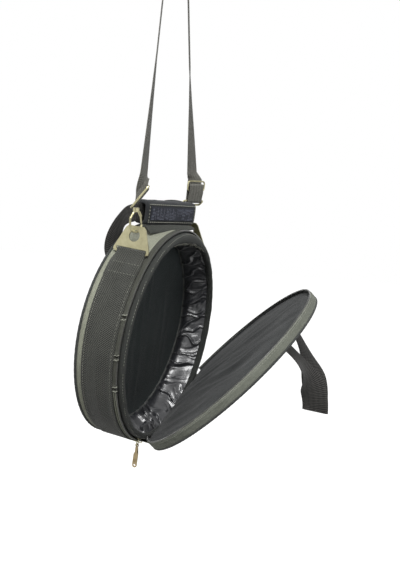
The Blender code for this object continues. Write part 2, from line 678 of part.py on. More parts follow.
def build_rear_handle(shell, webbing, padding, hook_tape):
    """Rear carry handle with its padded grip, lying forward over the top of the drum."""
    build_patches("rear_patch", BODY_DEPTH + SEAT, shell, webbing)
    back = BODY_DEPTH + PATCH + 2 * SEAT + HANDLE / 2
    hinge = Vector((0, back, ANCHOR_HEIGHT))
    frame = Frame("rear_handle_axis", shell, hinge)
    grip_dir = Vector((cos(GRIP_TURN), -sin(GRIP_TURN), 0))
    grip_back = Vector((sin(GRIP_TURN), cos(GRIP_TURN), 0))
    up = Vector((0, 0, 1))
    grip_mid = Vector((GRIP_ASIDE, GRIP_SETBACK, RADIUS + GRIP_RISE))
    grip_half = GRIP_LENGTH / 2
    wide, narrow = HANDLE_WIDTH / 2, GRIP_HEIGHT / 2 - GRIP_WALL - SEAT
    side = Vector((1, 0, 0))
    legs = []
    for sign, loop in ((-1, REAR_LOOP_LEFT), (1, REAR_LOOP_RIGHT)):
        end = grip_mid + grip_dir * sign * (grip_half - GRIP_WALL)
        mouth = grip_mid + grip_dir * sign * (grip_half + GRIP_WALL * 3 / 2)
        foot = Vector((sign * HANDLE_SPREAD, hinge.y, hinge.z))
        through = [foot + Vector((aside, y - foot.y, z - foot.z)) for aside, y, z in loop]
        through = [foot] + through + [mouth]
        points = smooth_path(through, LOOP_STEPS)
        last = len(points) - 1
        half_run = []
        for i, point in enumerate(points):
            ease = smooth_share(i / last)
            twist = Vector((0, sign * HANDLE_TWIST * sin(pi * i / last), 0))
            width = (side + twist).lerp(up * sign, ease).normalized()
            width *= wide + (narrow - wide) * ease
            half_run.append((point, width))
        half_run.append((end, up * sign * narrow))
        legs.append(half_run)
    run = [(p, w) for p, w in legs[0]] + [(p, -w) for p, w in reversed(legs[1])]
    made = []
    last = run[0][1]
    for i, (point, width) in enumerate(run):
        if width.dot(last) < 0:
            width = -width
        last = width
        before, after = run[max(i - 1, 0)][0], run[min(i + 1, len(run) - 1)][0]
        made.append((point, width, (after - before).cross(width)))
    loft("rear_handle", ribbon_sections(made, HANDLE), frame, webbing)
    build_grip(frame, grip_mid, grip_dir, grip_back, up, padding, hook_tape)
    return frame


def build_grip(frame, middle, along, back, up, padding, hook_tape):
    """Padded grip: a flattened sleeve with a hook tape on its face and an open flap below."""
    height, depth = GRIP_HEIGHT / 2, GRIP_DEPTH / 2
    corner = GRIP_WALL
    half = GRIP_LENGTH / 2

    def sleeve(shrink):
        h, d, c = height - shrink, depth - shrink, corner - shrink / 2
        return [(-d + c, -h), (d - c, -h), (d, -h + c), (d, h - c), (d - c, h), (-d + c, h),
                (-d, h - c), (-d, -h + c)]

    bm = bmesh.new()
    outer, inner = sleeve(0.0), sleeve(GRIP_WALL)
    ends = (middle - along * half, middle + along * half)
    outside = [[bm.verts.new(p) for p in plane_loop(outer, end, back, up)] for end in ends]
    inside = [[bm.verts.new(p) for p in plane_loop(inner, end, back, up)] for end in ends]
    for i in range(len(outer)):
        j = (i + 1) % len(outer)
        bm.faces.new((outside[0][i], outside[0][j], outside[1][j], outside[1][i]))
        bm.faces.new((inside[0][i], inside[1][i], inside[1][j], inside[0][j]))
        for end in (0, 1):
            bm.faces.new((outside[end][i], outside[end][j], inside[end][j], inside[end][i]))
    add_object("grip_wrap", finish_mesh("grip_wrap", bm), frame, padding)
    face = middle - back * (depth + SEAT)
    low, high = -height + HOOK_TAPE_MARGIN, height - HOOK_TAPE_MARGIN
    reach = half - HOOK_TAPE_MARGIN
    outline = [(-reach, low), (reach, low), (reach, high), (-reach, high)]
    loft("grip_hook_tape", [plane_loop(outline, face, along, up),
                            plane_loop(outline, face - back * HOOK_TAPE, along, up)],
         frame, hook_tape)
    hinge = middle - back * (depth + SEAT) - up * (height - corner)
    flap_frame = Frame("grip_flap_axis", frame, hinge)
    sections = []
    for end, width in ((-half, FLAP_WIDTH_LEFT), (half, FLAP_WIDTH_RIGHT)):
        outline = [(0, -FLAP), (width, -FLAP), (width, 0), (0, 0)]
        sections.append(plane_loop(outline, hinge + along * end, -back, up))
    loft("grip_flap", sections, flap_frame, padding)


def build_lid_handle(lid, webbing):
    """Handle on the lid, hanging below its two patches."""
    build_patches("lid_patch", -LID_DEPTH - SEAT - PATCH, lid, webbing)
    hinge = Vector((0, -LID_DEPTH - PATCH - SEAT - HANDLE / 2, ANCHOR_HEIGHT))
    turn_back = Quaternion(FOLD_AXIS, -LID_OPEN)
    frame = Frame("lid_handle_axis", lid, hinge)
    drop = turn_back @ Vector((0, -sin(BAG_TIP), -cos(BAG_TIP)))
    ahead = turn_back @ Vector((0, -1, 0))
    wide = Vector((HANDLE_WIDTH / 2, 0, 0))
    run = []
    for sign in (-1, 1):
        foot = Vector((sign * HANDLE_SPREAD, hinge.y, hinge.z))
        start = foot + Vector((0, -LID_HANDLE_START, 0))
        bottom = hinge + ahead * LID_HANDLE_REACH + drop * LID_HANDLE_LENGTH
        bottom += Vector((sign * HANDLE_WIDTH / 2, 0, 0))
        knee = bottom - drop * LID_HANDLE_LENGTH / 2
        half_run = []
        for i in range(LID_HANDLE_STEPS):
            t = i / (LID_HANDLE_STEPS - 1)
            a, b = (1 - t) ** 3, 3 * (1 - t) ** 2 * t
            c, d = 3 * (1 - t) * t * t, t ** 3
            half_run.append(foot * a + start * b + knee * c + bottom * d)
        run.append(half_run)
    points = run[0] + run[1][::-1]
    made = []
    count = len(points)
    for i, point in enumerate(points):
        before, after = points[max(i - 1, 0)], points[min(i + 1, count - 1)]
        direction = (after - before).normalized()
        if i in (0, count - 1):
            direction = Vector((0, -1 if i == 0 else 1, 0))
        share = min(i, count - 1 - i) / (count / 2 - 1)
        across = Vector((1, 0, 0)).lerp(ahead, smooth_share(share))
        across = (across - direction * across.dot(direction)).normalized()
        made.append((point, across * wide.length, direction.cross(across)))
    loft("lid_handle", ribbon_sections(made, HANDLE), frame, webbing)
    return frame


def build_hook(root, side_name, mirror, metal):
    """Snap hook on a swivel, with its gate and gate pin."""
    foot = Vector((mirror * AXIS_X, 0, 0)) + SWING_WORLD
    frame = Frame("hook_" + side_name + "_axis", root, foot)
    across = Vector((-mirror * cos(HOOK_TURN), -sin(HOOK_TURN), 0))
    up = Vector((0, 0, 1))
    bend = HOOK_BEND
    path = [(0, HOOK_HEIGHT + BOSS_HEIGHT / 2), (-bend / 2, HOOK_HEIGHT - WIRE),
            (-bend, HOOK_HEIGHT - bend)]
    path += arc((0, bend), bend, pi, 2 * pi, BEND_STEPS) + [(bend, NOSE_HEIGHT)]
    points = plane_loop(path, foot, across, up)
    hook = loft("hook_" + side_name, wire_sections(points, WIRE), frame, metal)
    boss = [foot + up * HOOK_HEIGHT, foot + up * (HOOK_HEIGHT + BOSS_HEIGHT)]
    part = loft("hook_boss_part_" + side_name, wire_sections(boss, BOSS_RADIUS, BOSS_SIDES),
                frame, metal)
    unite(hook, part)
    pivot_s = bend * GATE_PIVOT_SHARE
    thick = across.cross(up).normalized()
    pivot = foot + across * pivot_s + up * GATE_PIVOT_HEIGHT
    for sign in (-1, 1):
        ear_s = thick * sign * (GATE + GATE_CLEARANCE + PIN)
        ear = [foot + across * pivot_s / 2 + up * (HOOK_HEIGHT + WIRE) + ear_s,
               pivot + ear_s, pivot + ear_s - up * 2 * PIN]
        part = loft("hook_ear_part_" + side_name + str(sign + 1),
                    wire_sections(ear, EAR, THIN_SIDES), frame, metal)
        unite(hook, part)
    return frame, pivot, across, thick, foot


def build_gate(hook, side_name, metal):
    """Sprung gate that shuts the hook's mouth."""
    hook_frame, pivot, across, thick, foot = hook
    frame = Frame("gate_" + side_name + "_axis", hook_frame, pivot)
    up = Vector((0, 0, 1))
    tip = foot + across * HOOK_BEND + up * (NOSE_HEIGHT + GATE_CLEARANCE + GATE / 2)
    loft("gate_" + side_name, wire_sections([pivot + (pivot - tip).normalized() * GATE, tip], GATE),
         frame, metal)
    return frame


def build_eye(root, side_name, mirror, turn, slant, aim, metal):
    """Swivel eye: a wire loop standing beside the hook's boss, with the strap folded round it."""
    foot = Vector((mirror * AXIS_X, 0, 0)) + SWING_WORLD
    up = Vector((0, 0, 1))
    flat = Vector((cos(turn), -sin(turn), 0))
    along = flat * cos(slant) + up * sin(slant)
    aim = Vector(aim)
    other = (aim - along * aim.dot(along)).normalized()
    half, wide = EYE_LENGTH / 2, EYE_WIDTH / 2
    top = foot + up * (HOOK_HEIGHT + BOSS_HEIGHT + 2 * SEAT)
    if slant:
        middle = top - flat * (BOSS_RADIUS + WIRE + SEAT) + along * half + other * wide
    else:
        middle = top + up * WIRE + other * wide
    loft("eye_" + side_name, wire_loop(middle, along, other, half, wide, WIRE), root, metal,
         closed=True)
    return middle + other * wide, along


def wire_loop(middle, along, other, half, wide, radius):
    """A rectangular wire loop with rounded corners."""
    corner = min(wide, half) / 2
    right, top = half - corner, wide - corner
    shape = []
    for i, centre in enumerate(((right, top), (-right, top), (-right, -top), (right, -top))):
        start = i * QUARTER_TURN
        shape += arc(centre, corner, start, start + QUARTER_TURN, CORNER_STEPS)
    return wire_sections(plane_loop(shape, middle, along, other), radius, closed=True)


def wrap(centre, first, second, radius, half_width):
    """Webbing round a bar, from one side of it over the second direction to the other side."""
    stations = []
    for i in range(FOLD_STEPS + 1):
        turn = pi * i / FOLD_STEPS
        out = first * cos(turn) + second * sin(turn)
        stations.append((centre + out * radius, half_width))
    return stations


def top_end(mirror):
    """The end of the flat run over the peg on one side."""
    run = Vector((sin(TOP_TURN), cos(TOP_TURN), 0))
    return run * TOP_RUN / 2 * -mirror + Vector((0, 0, STRAP / 2 - 4 * STRAP))


def leg(start, mirror, turn):
    """The straight leg up to the peg, turning on its lower part."""
    end = top_end(mirror)
    direction = (end - start).normalized()
    stations = []
    for i in range(LEG_STEPS + 1):
        turned = turn + (TOP_TURN - turn) * min(1, i / LEG_STEPS / TURN_SHARE)
        across = Vector((cos(turned), -sin(turned), 0))
        across = (across - direction * across.dot(direction)).normalized()
        stations.append((start.lerp(end, i / LEG_STEPS), across * STRAP_WIDTH / 2))
    return stations


def left_end(bar, along):
    """Sewn end at the left eye: a short tail, the fold round the bar, then the twist."""
    lean = (top_end(-1) - bar).normalized()
    rise = (lean - along * lean.dot(along)).normalized()
    face = rise.cross(along).normalized()
    bend = WIRE + SEAT + STRAP / 2
    half_width = along * STRAP_WIDTH / 2
    stations = [(bar - face * bend + rise * TAIL_LENGTH, half_width),
                (bar - face * bend + rise * FOLD_RISE, half_width)]
    stations += wrap(bar, -face, -rise, bend, half_width)
    stations.append((bar + face * bend + rise * FOLD_RISE, half_width))
    return stations + leg(bar + face * bend + lean * TWIST_RISE, -1, LEG_TURN_LEFT)


def right_end(root, bar, along, metal):
    """Right end: sewn round the adjuster's middle bar, down round the eye and up again."""
    lean = (top_end(1) - bar).normalized()
    rise = (lean - along * lean.dot(along)).normalized()
    face = rise.cross(along).normalized()
    if face.y > 0:
        face = -face
    bend = WIRE + SEAT + STRAP / 2
    small = ADJUSTER_WIRE + SEAT + STRAP / 2
    forward = small + STRAP + SEAT - bend + SEAT
    middle = bar + rise * ADJUSTER_RISE + face * forward
    half_width = along * STRAP_WIDTH / 2
    loop_half = STRAP_WIDTH / 2 + 2 * ADJUSTER_WIRE
    outer = wire_loop(middle, along, rise, loop_half, ADJUSTER_HEIGHT / 2, ADJUSTER_WIRE)
    frame_loop = loft("strap_adjuster", outer, root, metal, closed=True)
    ends = [middle - along * loop_half, middle + along * loop_half]
    bar_part = loft("adjuster_bar_part", wire_sections(ends, ADJUSTER_WIRE), root, metal)
    unite(frame_loop, bar_part)
    clear = ADJUSTER_HEIGHT / 2 + ADJUSTER_WIRE * 2
    stations = [(middle - face * small - rise * RETURN_TAIL, half_width)]
    stations += wrap(middle, -face, rise, small, half_width)
    stations.append((middle + face * small - rise * clear, half_width))
    stations.append((bar + face * bend + rise * FOLD_RISE, half_width))
    stations += wrap(bar, face, -rise, bend, half_width)
    stations.append((bar - face * bend + rise * (ADJUSTER_RISE + clear), half_width))
    return stations + leg(bar - face * bend + lean * (ADJUSTER_RISE + 2 * clear), 1, LEG_TURN_RIGHT)


def build_strap(root, left_eye, right_eye, webbing, metal):
    """Shoulder strap: one length of webbing from the left eye over the peg to the right eye."""
    top_flat = Vector((cos(TOP_TURN), -sin(TOP_TURN), 0)) * STRAP_WIDTH / 2
    run = Vector((sin(TOP_TURN), cos(TOP_TURN), 0))
    lift = Vector((0, 0, STRAP / 2))
    top = [(run * s * TOP_RUN / 2 + lift, top_flat) for s in TOP_SHARES]
    path = left_end(*left_eye) + top + right_end(root, *right_eye, metal)[::-1]
    made = []
    last = path[0][1]
    for i, (middle, half_width) in enumerate(path):
        if half_width.dot(last) < 0:
            half_width = -half_width
        last = half_width
        before, after = path[max(i - 1, 0)][0], path[min(i + 1, len(path) - 1)][0]
        made.append((middle, half_width, (after - before).cross(half_width)))
    loft("strap_webbing", ribbon_sections(made, STRAP), root, webbing)


for old in list(bpy.data.objects):
    bpy.data.objects.remove(old, do_unlink=True)

SWING_WORLD = Vector((0, HANG_AHEAD, -HANG_DROP))

root_frame = Frame("hang_point", None, (0, 0, 0))
shell_frame = Frame("bag_axis", None, SWING_POINT, Quaternion((1, 0, 0), BAG_TIP))
shell_frame.empty.location = SWING_WORLD

canvas_finish = material("canvas_grey", "4B4C47", 0.85)
foam_finish = material("foam", "2C2C2E", 0.95)
board_finish = material("board", "3A3A38", 0.8)
shiny_finish = material("nylon_lining", "14151A", 0.3)
matte_finish = material("matte_lining", "26282B", 0.75)
binding_finish = material("binding_black", "1B1B1C", 0.7)
tape_finish = material("zip_tape", "2E2E2D", 0.7)
web_finish = material("webbing_charcoal", "2F2F31", 0.85)
strap_finish = material("strap_grey", "44443F", 0.85)
padding_finish = material("grip_padding", "202124", 0.8)
hook_tape_finish = material("hook_tape", "2B2F3A", 0.9)
nickel_finish = material("nickel", "C9C2A8", 0.25, 1.0)

build_band(shell_frame, canvas_finish, foam_finish, shiny_finish)
build_back(shell_frame, canvas_finish, board_finish, foam_finish, matte_finish, binding_finish)
build_body_zip(shell_frame, tape_finish, nickel_finish)
build_lower_front(shell_frame, canvas_finish, foam_finish, matte_finish, binding_finish)
build_fold(shell_frame, canvas_finish)
slider_frame, slider_bail = build_slider(shell_frame, nickel_finish)
build_pull(slider_frame, slider_bail, nickel_finish)
build_webbing(shell_frame, web_finish)
build_ring(shell_frame, "ring_left", -1, nickel_finish)
build_ring(shell_frame, "ring_right", 1, nickel_finish)
lid_frame = build_lid(shell_frame, canvas_finish, foam_finish, matte_finish, binding_finish,
                      tape_finish)
build_lid_handle(lid_frame, web_finish)
build_rear_handle(shell_frame, web_finish, padding_finish, hook_tape_finish)
for side_word, side_sign in (("left", -1), ("right", 1)):
    build_gate(build_hook(root_frame, side_word, side_sign, nickel_finish), side_word, nickel_finish)
left = build_eye(root_frame, "left", -1, EYE_TURN_LEFT, EYE_SLANT_LEFT, EYE_AIM_LEFT,
                 nickel_finish)
right = build_eye(root_frame, "right", 1, EYE_TURN_RIGHT, EYE_SLANT_RIGHT, EYE_AIM_RIGHT,
                  nickel_finish)
build_strap(root_frame, left, right, strap_finish, nickel_finish)
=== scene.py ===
"""Looks of a round padded tambourine bag that hangs open from its shoulder strap."""
from math import acos, cos, pi, radians, sin, sqrt

import bmesh
import bpy
from mathutils import Matrix, Quaternion, Vector, noise


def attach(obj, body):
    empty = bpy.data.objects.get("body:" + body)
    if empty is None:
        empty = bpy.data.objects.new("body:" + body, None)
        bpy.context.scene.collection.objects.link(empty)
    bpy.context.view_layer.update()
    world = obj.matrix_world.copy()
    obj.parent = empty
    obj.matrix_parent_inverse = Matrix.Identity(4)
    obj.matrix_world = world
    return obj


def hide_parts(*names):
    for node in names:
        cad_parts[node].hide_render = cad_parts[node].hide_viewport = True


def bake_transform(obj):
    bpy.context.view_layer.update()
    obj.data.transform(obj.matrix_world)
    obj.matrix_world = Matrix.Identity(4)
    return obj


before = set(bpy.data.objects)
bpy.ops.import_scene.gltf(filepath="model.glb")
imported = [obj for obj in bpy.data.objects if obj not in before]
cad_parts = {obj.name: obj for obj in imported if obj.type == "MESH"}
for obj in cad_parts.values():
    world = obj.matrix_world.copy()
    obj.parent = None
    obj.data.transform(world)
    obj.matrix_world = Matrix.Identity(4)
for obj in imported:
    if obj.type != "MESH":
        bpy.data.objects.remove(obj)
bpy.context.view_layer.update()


# Studio: the bag hangs in front of a white wall over a white floor, and soft lamps light it from
# the upper left, as in the photograph. The camera stands to the left of the open mouth.
MOUTH = Vector((0, -0.00871, -0.59922))        # middle of the drum's mouth
VIEW_TURN, VIEW_RISE, VIEW_ROLL = radians(-68.61), radians(8.0), radians(2.4)
VIEW_DISTANCE = 0.9846
FOCAL_PIXELS = 700.0
MOUTH_PIXEL, FRAME_PIXELS = (170.4, 336.1), (400, 570)
SENSOR = 36.0
ROOM_LIGHT, FLOOR_GLOW = 0.34, 1.0
FLOOR_HEIGHT, FLOOR_HALF = -1.25, 6.0


def placed(name, data):
    """A new object in the scene."""
    made = bpy.data.objects.new(name, data)
    bpy.context.scene.collection.objects.link(made)
    return made


aim = (Matrix.Translation(MOUTH) @ Matrix.Rotation(VIEW_TURN, 4, 'Z')
       @ Matrix.Rotation(pi / 2 - VIEW_RISE, 4, 'X') @ Matrix.Rotation(VIEW_ROLL, 4, 'Z'))
stand = VIEW_DISTANCE * Vector(((FRAME_PIXELS[0] / 2 - MOUTH_PIXEL[0]) / FOCAL_PIXELS,
                                (MOUTH_PIXEL[1] - FRAME_PIXELS[1] / 2) / FOCAL_PIXELS, 1))
camera = placed("camera", bpy.data.cameras.new("camera"))
camera.matrix_world = aim @ Matrix.Translation(stand)
camera.data.sensor_width = SENSOR
camera.data.lens = FOCAL_PIXELS * SENSOR / FRAME_PIXELS[1]
camera.data.clip_start = 0.01
bpy.context.scene.camera = camera

for name, spot, size, watts in (("key_lamp", (-1.05, -0.50, 1.0), 0.9, 52),
                                ("fill_lamp", (-0.75, -1.35, -0.25), 0.8, 8),
                                ("edge_lamp", (-1.0, 1.3, 0.1), 0.7, 12)):
    lamp = placed(name, bpy.data.lights.new(name, 'AREA'))
    lamp.data.size, lamp.data.energy = size, watts
    lamp.location = spot
    lamp.rotation_mode = 'QUATERNION'
    lamp.rotation_quaternion = (MOUTH - lamp.location).to_track_quat('-Z', 'Y')


def linear(hex_colour):
    """Turn an sRGB hex colour into Blender's linear values."""
    channels = [int(hex_colour[i:i + 2], 16) / 255 for i in (0, 2, 4)]
    return [c / 12.92 if c <= 0.04045 else ((c + 0.055) / 1.055) ** 2.4 for c in channels] + [1.0]


def feed(tree, node, inputs):
    """Set a node's inputs, or link them to a socket or to another node's first one in use."""
    for key, value in inputs.items():
        if isinstance(value, bpy.types.Node):
            value = next(socket for socket in value.outputs if socket.enabled)
        if isinstance(value, bpy.types.NodeSocket):
            tree.links.new(value, node.inputs[key])
        else:
            node.inputs[key].default_value = value


def add(tree, kind, inputs=(), **settings):
    """Add a shader node with its settings and links."""
    made = tree.nodes.new("ShaderNode" + kind)
    for key, value in settings.items():
        setattr(made, key, value)
    feed(tree, made, dict(inputs))
    return made


def seen_light(tree):
    """1 for rays that show the wall itself: seen directly, in metal or through glass."""
    rays = add(tree, "LightPath").outputs
    seen = add(tree, "Math", {0: rays["Is Camera Ray"], 1: rays["Is Glossy Ray"]},
               operation='MAXIMUM')
    return add(tree, "Math", {0: seen, 1: rays["Is Transmission Ray"]}, operation='MAXIMUM')


world = bpy.context.scene.world or bpy.data.worlds.new("studio")
bpy.context.scene.world = world
world.use_nodes = True
sky = world.node_tree
sky.nodes.clear()
room = add(sky, "Background", {"Color": linear("FFFFFF"), "Strength": ROOM_LIGHT})
wall = add(sky, "Background", {"Color": linear("FFFFFF"), "Strength": 1.0})
both = add(sky, "MixShader", {0: seen_light(sky), 1: room, 2: wall})
add(sky, "OutputWorld", {"Surface": both})

# Matt floor paint that keeps the bag's shadow and shows as white.
floor_finish = bpy.data.materials.new("white_floor_paint")
floor_finish.use_nodes = True
tree = floor_finish.node_tree
tree.nodes.clear()
paint = add(tree, "BsdfDiffuse", {"Color": linear("9A9A98")})
glow = add(tree, "Emission", {"Color": linear("FFFFFF"), "Strength": FLOOR_GLOW})
none = add(tree, "Emission", {"Strength": 0.0})
lift = add(tree, "MixShader", {0: seen_light(tree), 1: none, 2: glow})
add(tree, "OutputMaterial", {"Surface": add(tree, "AddShader", {0: paint, 1: lift})})
floor_mesh = bpy.data.meshes.new("floor")
floor_mesh.from_pydata([(FLOOR_HALF * x, FLOOR_HALF * y, FLOOR_HEIGHT)
                        for x, y in ((-1, -1), (1, -1), (1, 1), (-1, 1))], [], [(0, 1, 2, 3)])
floor_mesh.materials.append(floor_finish)
placed("floor", floor_mesh)
bpy.context.scene.view_settings.view_transform = 'Standard'


# Canvas side of the drum: olive grey polyester canvas, plain woven and coated, laid round foam.
# It is sewn to the back with piping, and pulls slightly at its seams and under the webbing.
RADIUS, SIDE_FRONT, SIDE_BACK = 0.150, 0.0098, 0.0600
HANG = radians(6.3)             # the bag hangs tipped towards its mouth
TIP = Matrix.Rotation(HANG, 3, 'X')


def in_bag(point):
    """A point of the bag's own drawing, whose origin is the middle of the mouth."""
    return TIP @ Vector(point) + MOUTH


def around(turn, radius, y):
    """A point of the drum, turned from the top towards -X."""
    return Vector((-radius * sin(turn), y, radius * cos(turn)))


def make_piece(name, bm, finish, sharp=None):
    """Close a bmesh into a smooth piece of one finish."""
    mesh = bpy.data.meshes.new(name)
    bm.to_mesh(mesh)
    bm.free()
    mesh.shade_smooth()
    if sharp:
        mesh.set_sharp_from_angle(angle=sharp)
    mesh.materials.append(finish)
    return placed(name, mesh)


def skin(name, spots, finish, ring=False, tube=False, sharp=None):
    """A piece over rows of points, each with its place on the flat cloth, in metres.

    The last row of a ring repeats its first, and the last column of a tube. A tube that is no
    ring has flat ends.
    """
    bm = bmesh.new()
    lay = bm.loops.layers.uv.new("cloth")
    rows = [[bm.verts.new(point) for point, flat in (row[:-1] if tube else row)]
            for row in (spots[:-1] if ring else spots)]
    faces = [((i, j), (i + 1, j), (i + 1, j + 1), (i, j + 1))
             for i in range(len(spots) - 1) for j in range(len(spots[0]) - 1)]
    if tube and not ring:
        faces += [[(i, j) for j in range(len(rows[0]))] for i in (0, len(rows) - 1)]
        faces[-2].reverse()
    for grid in faces:
        face = bm.faces.new([rows[i % len(rows)][j % len(rows[0])] for i, j in grid])
        for corner, (i, j) in zip(face.loops, grid):
            corner[lay].uv = spots[i][j][1]
    if tube:
        bmesh.ops.recalc_face_normals(bm, faces=bm.faces)
    return make_piece(name, bm, finish, sharp)


def laid_out(shape, cells):
    """Rows of spots from shape(u, v)."""
    across, along = cells
    return [[shape(i / across, j / along) for j in range(along + 1)] for i in range(across + 1)]


def cloth(name, shape, cells, finish, thickness=0.0009, loop=False):
    """A woven panel with a real thickness."""
    made = skin(name, laid_out(shape, cells), finish, ring=loop)
    solid = made.modifiers.new("thickness", 'SOLIDIFY')
    solid.thickness, solid.offset = thickness, 0
    return made


def sew_to(piece, body, slot, *nodes, fill=None, **sheet):
    """The piece moves with a body and stands for its plain solids; slot, fill and sheet are unused.
    """
    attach(piece, body)
    if nodes:
        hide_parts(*nodes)


def bumps(x, y, z):
    """Smooth noise from -1 to 1."""
    return noise.noise(Vector((x, y, z)))


def ripple(x, y, z, scale, seed=0.0):
    """The same with bumps about scale metres wide."""
    return bumps(x / scale + seed, y / scale - seed, z / scale + seed * 2)


def new_finish(name):
    """A new material with its tree and its shader."""
    made = bpy.data.materials.new(name)
    made.use_nodes = True
    return made, made.node_tree, made.node_tree.nodes["Principled BSDF"]


def woven(name, dark, light, thread, relief, rough, pattern='plain', sheen=0.05, fade=0.35):
    """A woven finish. Threads of two shades cross; slow noise fades them, and fuzz roughens them.

    The thread spacing is in metres. A real one of half a millimetre is too fine to show at this
    picture's size, so it is drawn up to twice as coarse.
    """
    made, tree, shader = new_finish(name)
    flat = add(tree, "SeparateXYZ", {0: add(tree, "UVMap", uv_map="cloth")}).outputs
    along, across = flat[0], flat[1]
    if pattern == 'herringbone':
        bend = add(tree, "Math", {0: across, 1: thread * 5}, operation='PINGPONG')
        along = add(tree, "Math", {0: along, 1: bend}, operation='ADD')
    waves = []
    for value, spacing in ((along, thread), (across, thread * (3 if pattern == 'rib' else 1))):
        turned = add(tree, "Math", {0: value, 1: 2 * pi / spacing}, operation='MULTIPLY')
        waves.append(add(tree, "Math", {0: turned}, operation='SINE'))
    if pattern == 'plain':
        weave = add(tree, "Math", {0: waves[0], 1: waves[1]}, operation='MULTIPLY')
    else:
        weave = add(tree, "Math", {0: waves[1], 1: 0.25, 2: waves[0]}, operation='MULTIPLY_ADD')
    height = add(tree, "Math", {0: weave, 1: 0.5, 2: 0.5}, operation='MULTIPLY_ADD')
    spot = add(tree, "TexCoord").outputs["Object"]
    slow = add(tree, "TexNoise", {"Vector": spot, "Scale": 28.0, "Detail": 3.0})
    fuzz = add(tree, "TexNoise", {"Vector": spot, "Scale": 900.0, "Detail": 2.0})
    worn = add(tree, "Math", {0: slow, 1: fade, 2: height}, operation='MULTIPLY_ADD')
    rubbed = add(tree, "Math", {0: fuzz, 1: 0.9, 2: worn}, operation='MULTIPLY_ADD')
    share = add(tree, "Math", {0: rubbed, 1: fade / 2 + 0.45}, operation='SUBTRACT',
                use_clamp=True)
    colour = add(tree, "Mix", {"Factor": share, "A": linear(dark), "B": linear(light)},
                 data_type='RGBA')
    hairs = add(tree, "Math", {0: fuzz, 1: 0.6, 2: height}, operation='MULTIPLY_ADD')
    bump = add(tree, "Bump", {"Height": hairs, "Strength": relief, "Distance": 0.0005})
    feed(tree, shader, {"Base Color": colour, "Normal": bump, "Roughness": rough,
                        "Specular IOR Level": 0.18, "Sheen Weight": sheen,
                        "Sheen Roughness": 0.5})
    return made


# Plain woven polyester canvas: matt, pale olive grey, with a fine even grain.
canvas = woven("olive_polyester_canvas", "57594E", "909283", 0.0011, 0.5, 0.85)


def side_canvas_shape(u, v):
    turn = u * 2 * pi
    y = SIDE_FRONT + (SIDE_BACK - SIDE_FRONT) * v
    sag = 0.0007 * max(0.0, cos(turn)) ** 3 * ripple(sin(turn), y * 3, cos(turn), 0.16, 3.0)
    edge = 0.0012 * abs(2 * v - 1) ** 8
    return in_bag(around(turn, RADIUS - edge + sag, y)), (turn * RADIUS, y)


sew_to(cloth("canvas_side", side_canvas_shape, (240, 20), canvas, loop=True),
       "shell", "canvas_grey", "side_band", flat=(SIDE_BACK - SIDE_FRONT, 2 * pi * RADIUS),
       held="stretched", rests_on=["band_foam"])


# Back of the drum: a disc of the same canvas over board and foam, with a corded edge round it.
# It lies flat and crowns a little over its foam.
BODY_DEPTH, PANEL_RADIUS = 0.062, 0.1478


def disc_spot(u, v, radius):
    """A square's point moved to a disc, as (x, z)."""
    a, b = 2 * u - 1, 2 * v - 1
    return radius * a * sqrt(1 - b * b / 2), radius * b * sqrt(1 - a * a / 2)


def from_middle(x, z, radius):
    """How far out a spot of a disc lies, from 0 to 1."""
    return min(1.0, sqrt(x * x + z * z) / radius)


def back_canvas_shape(u, v):
    x, z = disc_spot(u, v, PANEL_RADIUS)
    crown = 0.0012 * (1 - from_middle(x, z, PANEL_RADIUS) ** 4) + 0.0003 * ripple(x, 0, z, 0.03)
    return in_bag((x, BODY_DEPTH - 0.0008 + crown, z)), (x, z)


sew_to(cloth("canvas_back", back_canvas_shape, (60, 60), canvas),
       "shell", "canvas_grey", "back_canvas", "back_stiffener", "back_foam",
       flat=(2 * PANEL_RADIUS, 2 * PANEL_RADIUS), area=pi * PANEL_RADIUS ** 2,
       held="stretched", rests_on=["back_stiffener"])

# Ribbed polyester binding over cord: near black, with a dull shine along its ribs.
binding = woven("black_binding_tape", "202221", "3E403E", 0.0010, 0.6, 0.75, pattern='rib')


def tube_ring(name, start, end, centre, finish, place, cells, rib=0.00012):
    """A ribbed cord round the drum. centre is (radius, y, half width, half depth)."""
    radius, y, wide, deep = centre

    def roll(u, v):
        turn, side = start + (end - start) * u, v * 2 * pi
        swell = rib * sin(turn * 190)
        return (place(around(turn, radius + (wide + swell) * cos(side),
                             y + (deep + swell) * sin(side))),
                (turn * radius, side * (wide + deep) / 2))

    return skin(name, laid_out(roll, cells), finish, ring=end - start >= 2 * pi, tube=True)


sew_to(tube_ring("rear_cord_edge", 0, 2 * pi, (0.14925, 0.0616, 0.0017, 0.0017), binding, in_bag,
                 (288, 10)), "shell", "binding_black", "rear_piping")


# Sewing thread: light grey polyester, drawn as single stitches that lie on the cloth. Stitches are
# 3 mm long, as on luggage, and as thick as they need to be to show.
STITCH, STITCH_GAP, THREAD = 0.0030, 0.0013, 0.00032
STITCH_BOW = ((-0.5, 0.25), (-0.3, 0.9), (0.0, 1.0), (0.3, 0.9), (0.5, 0.25))


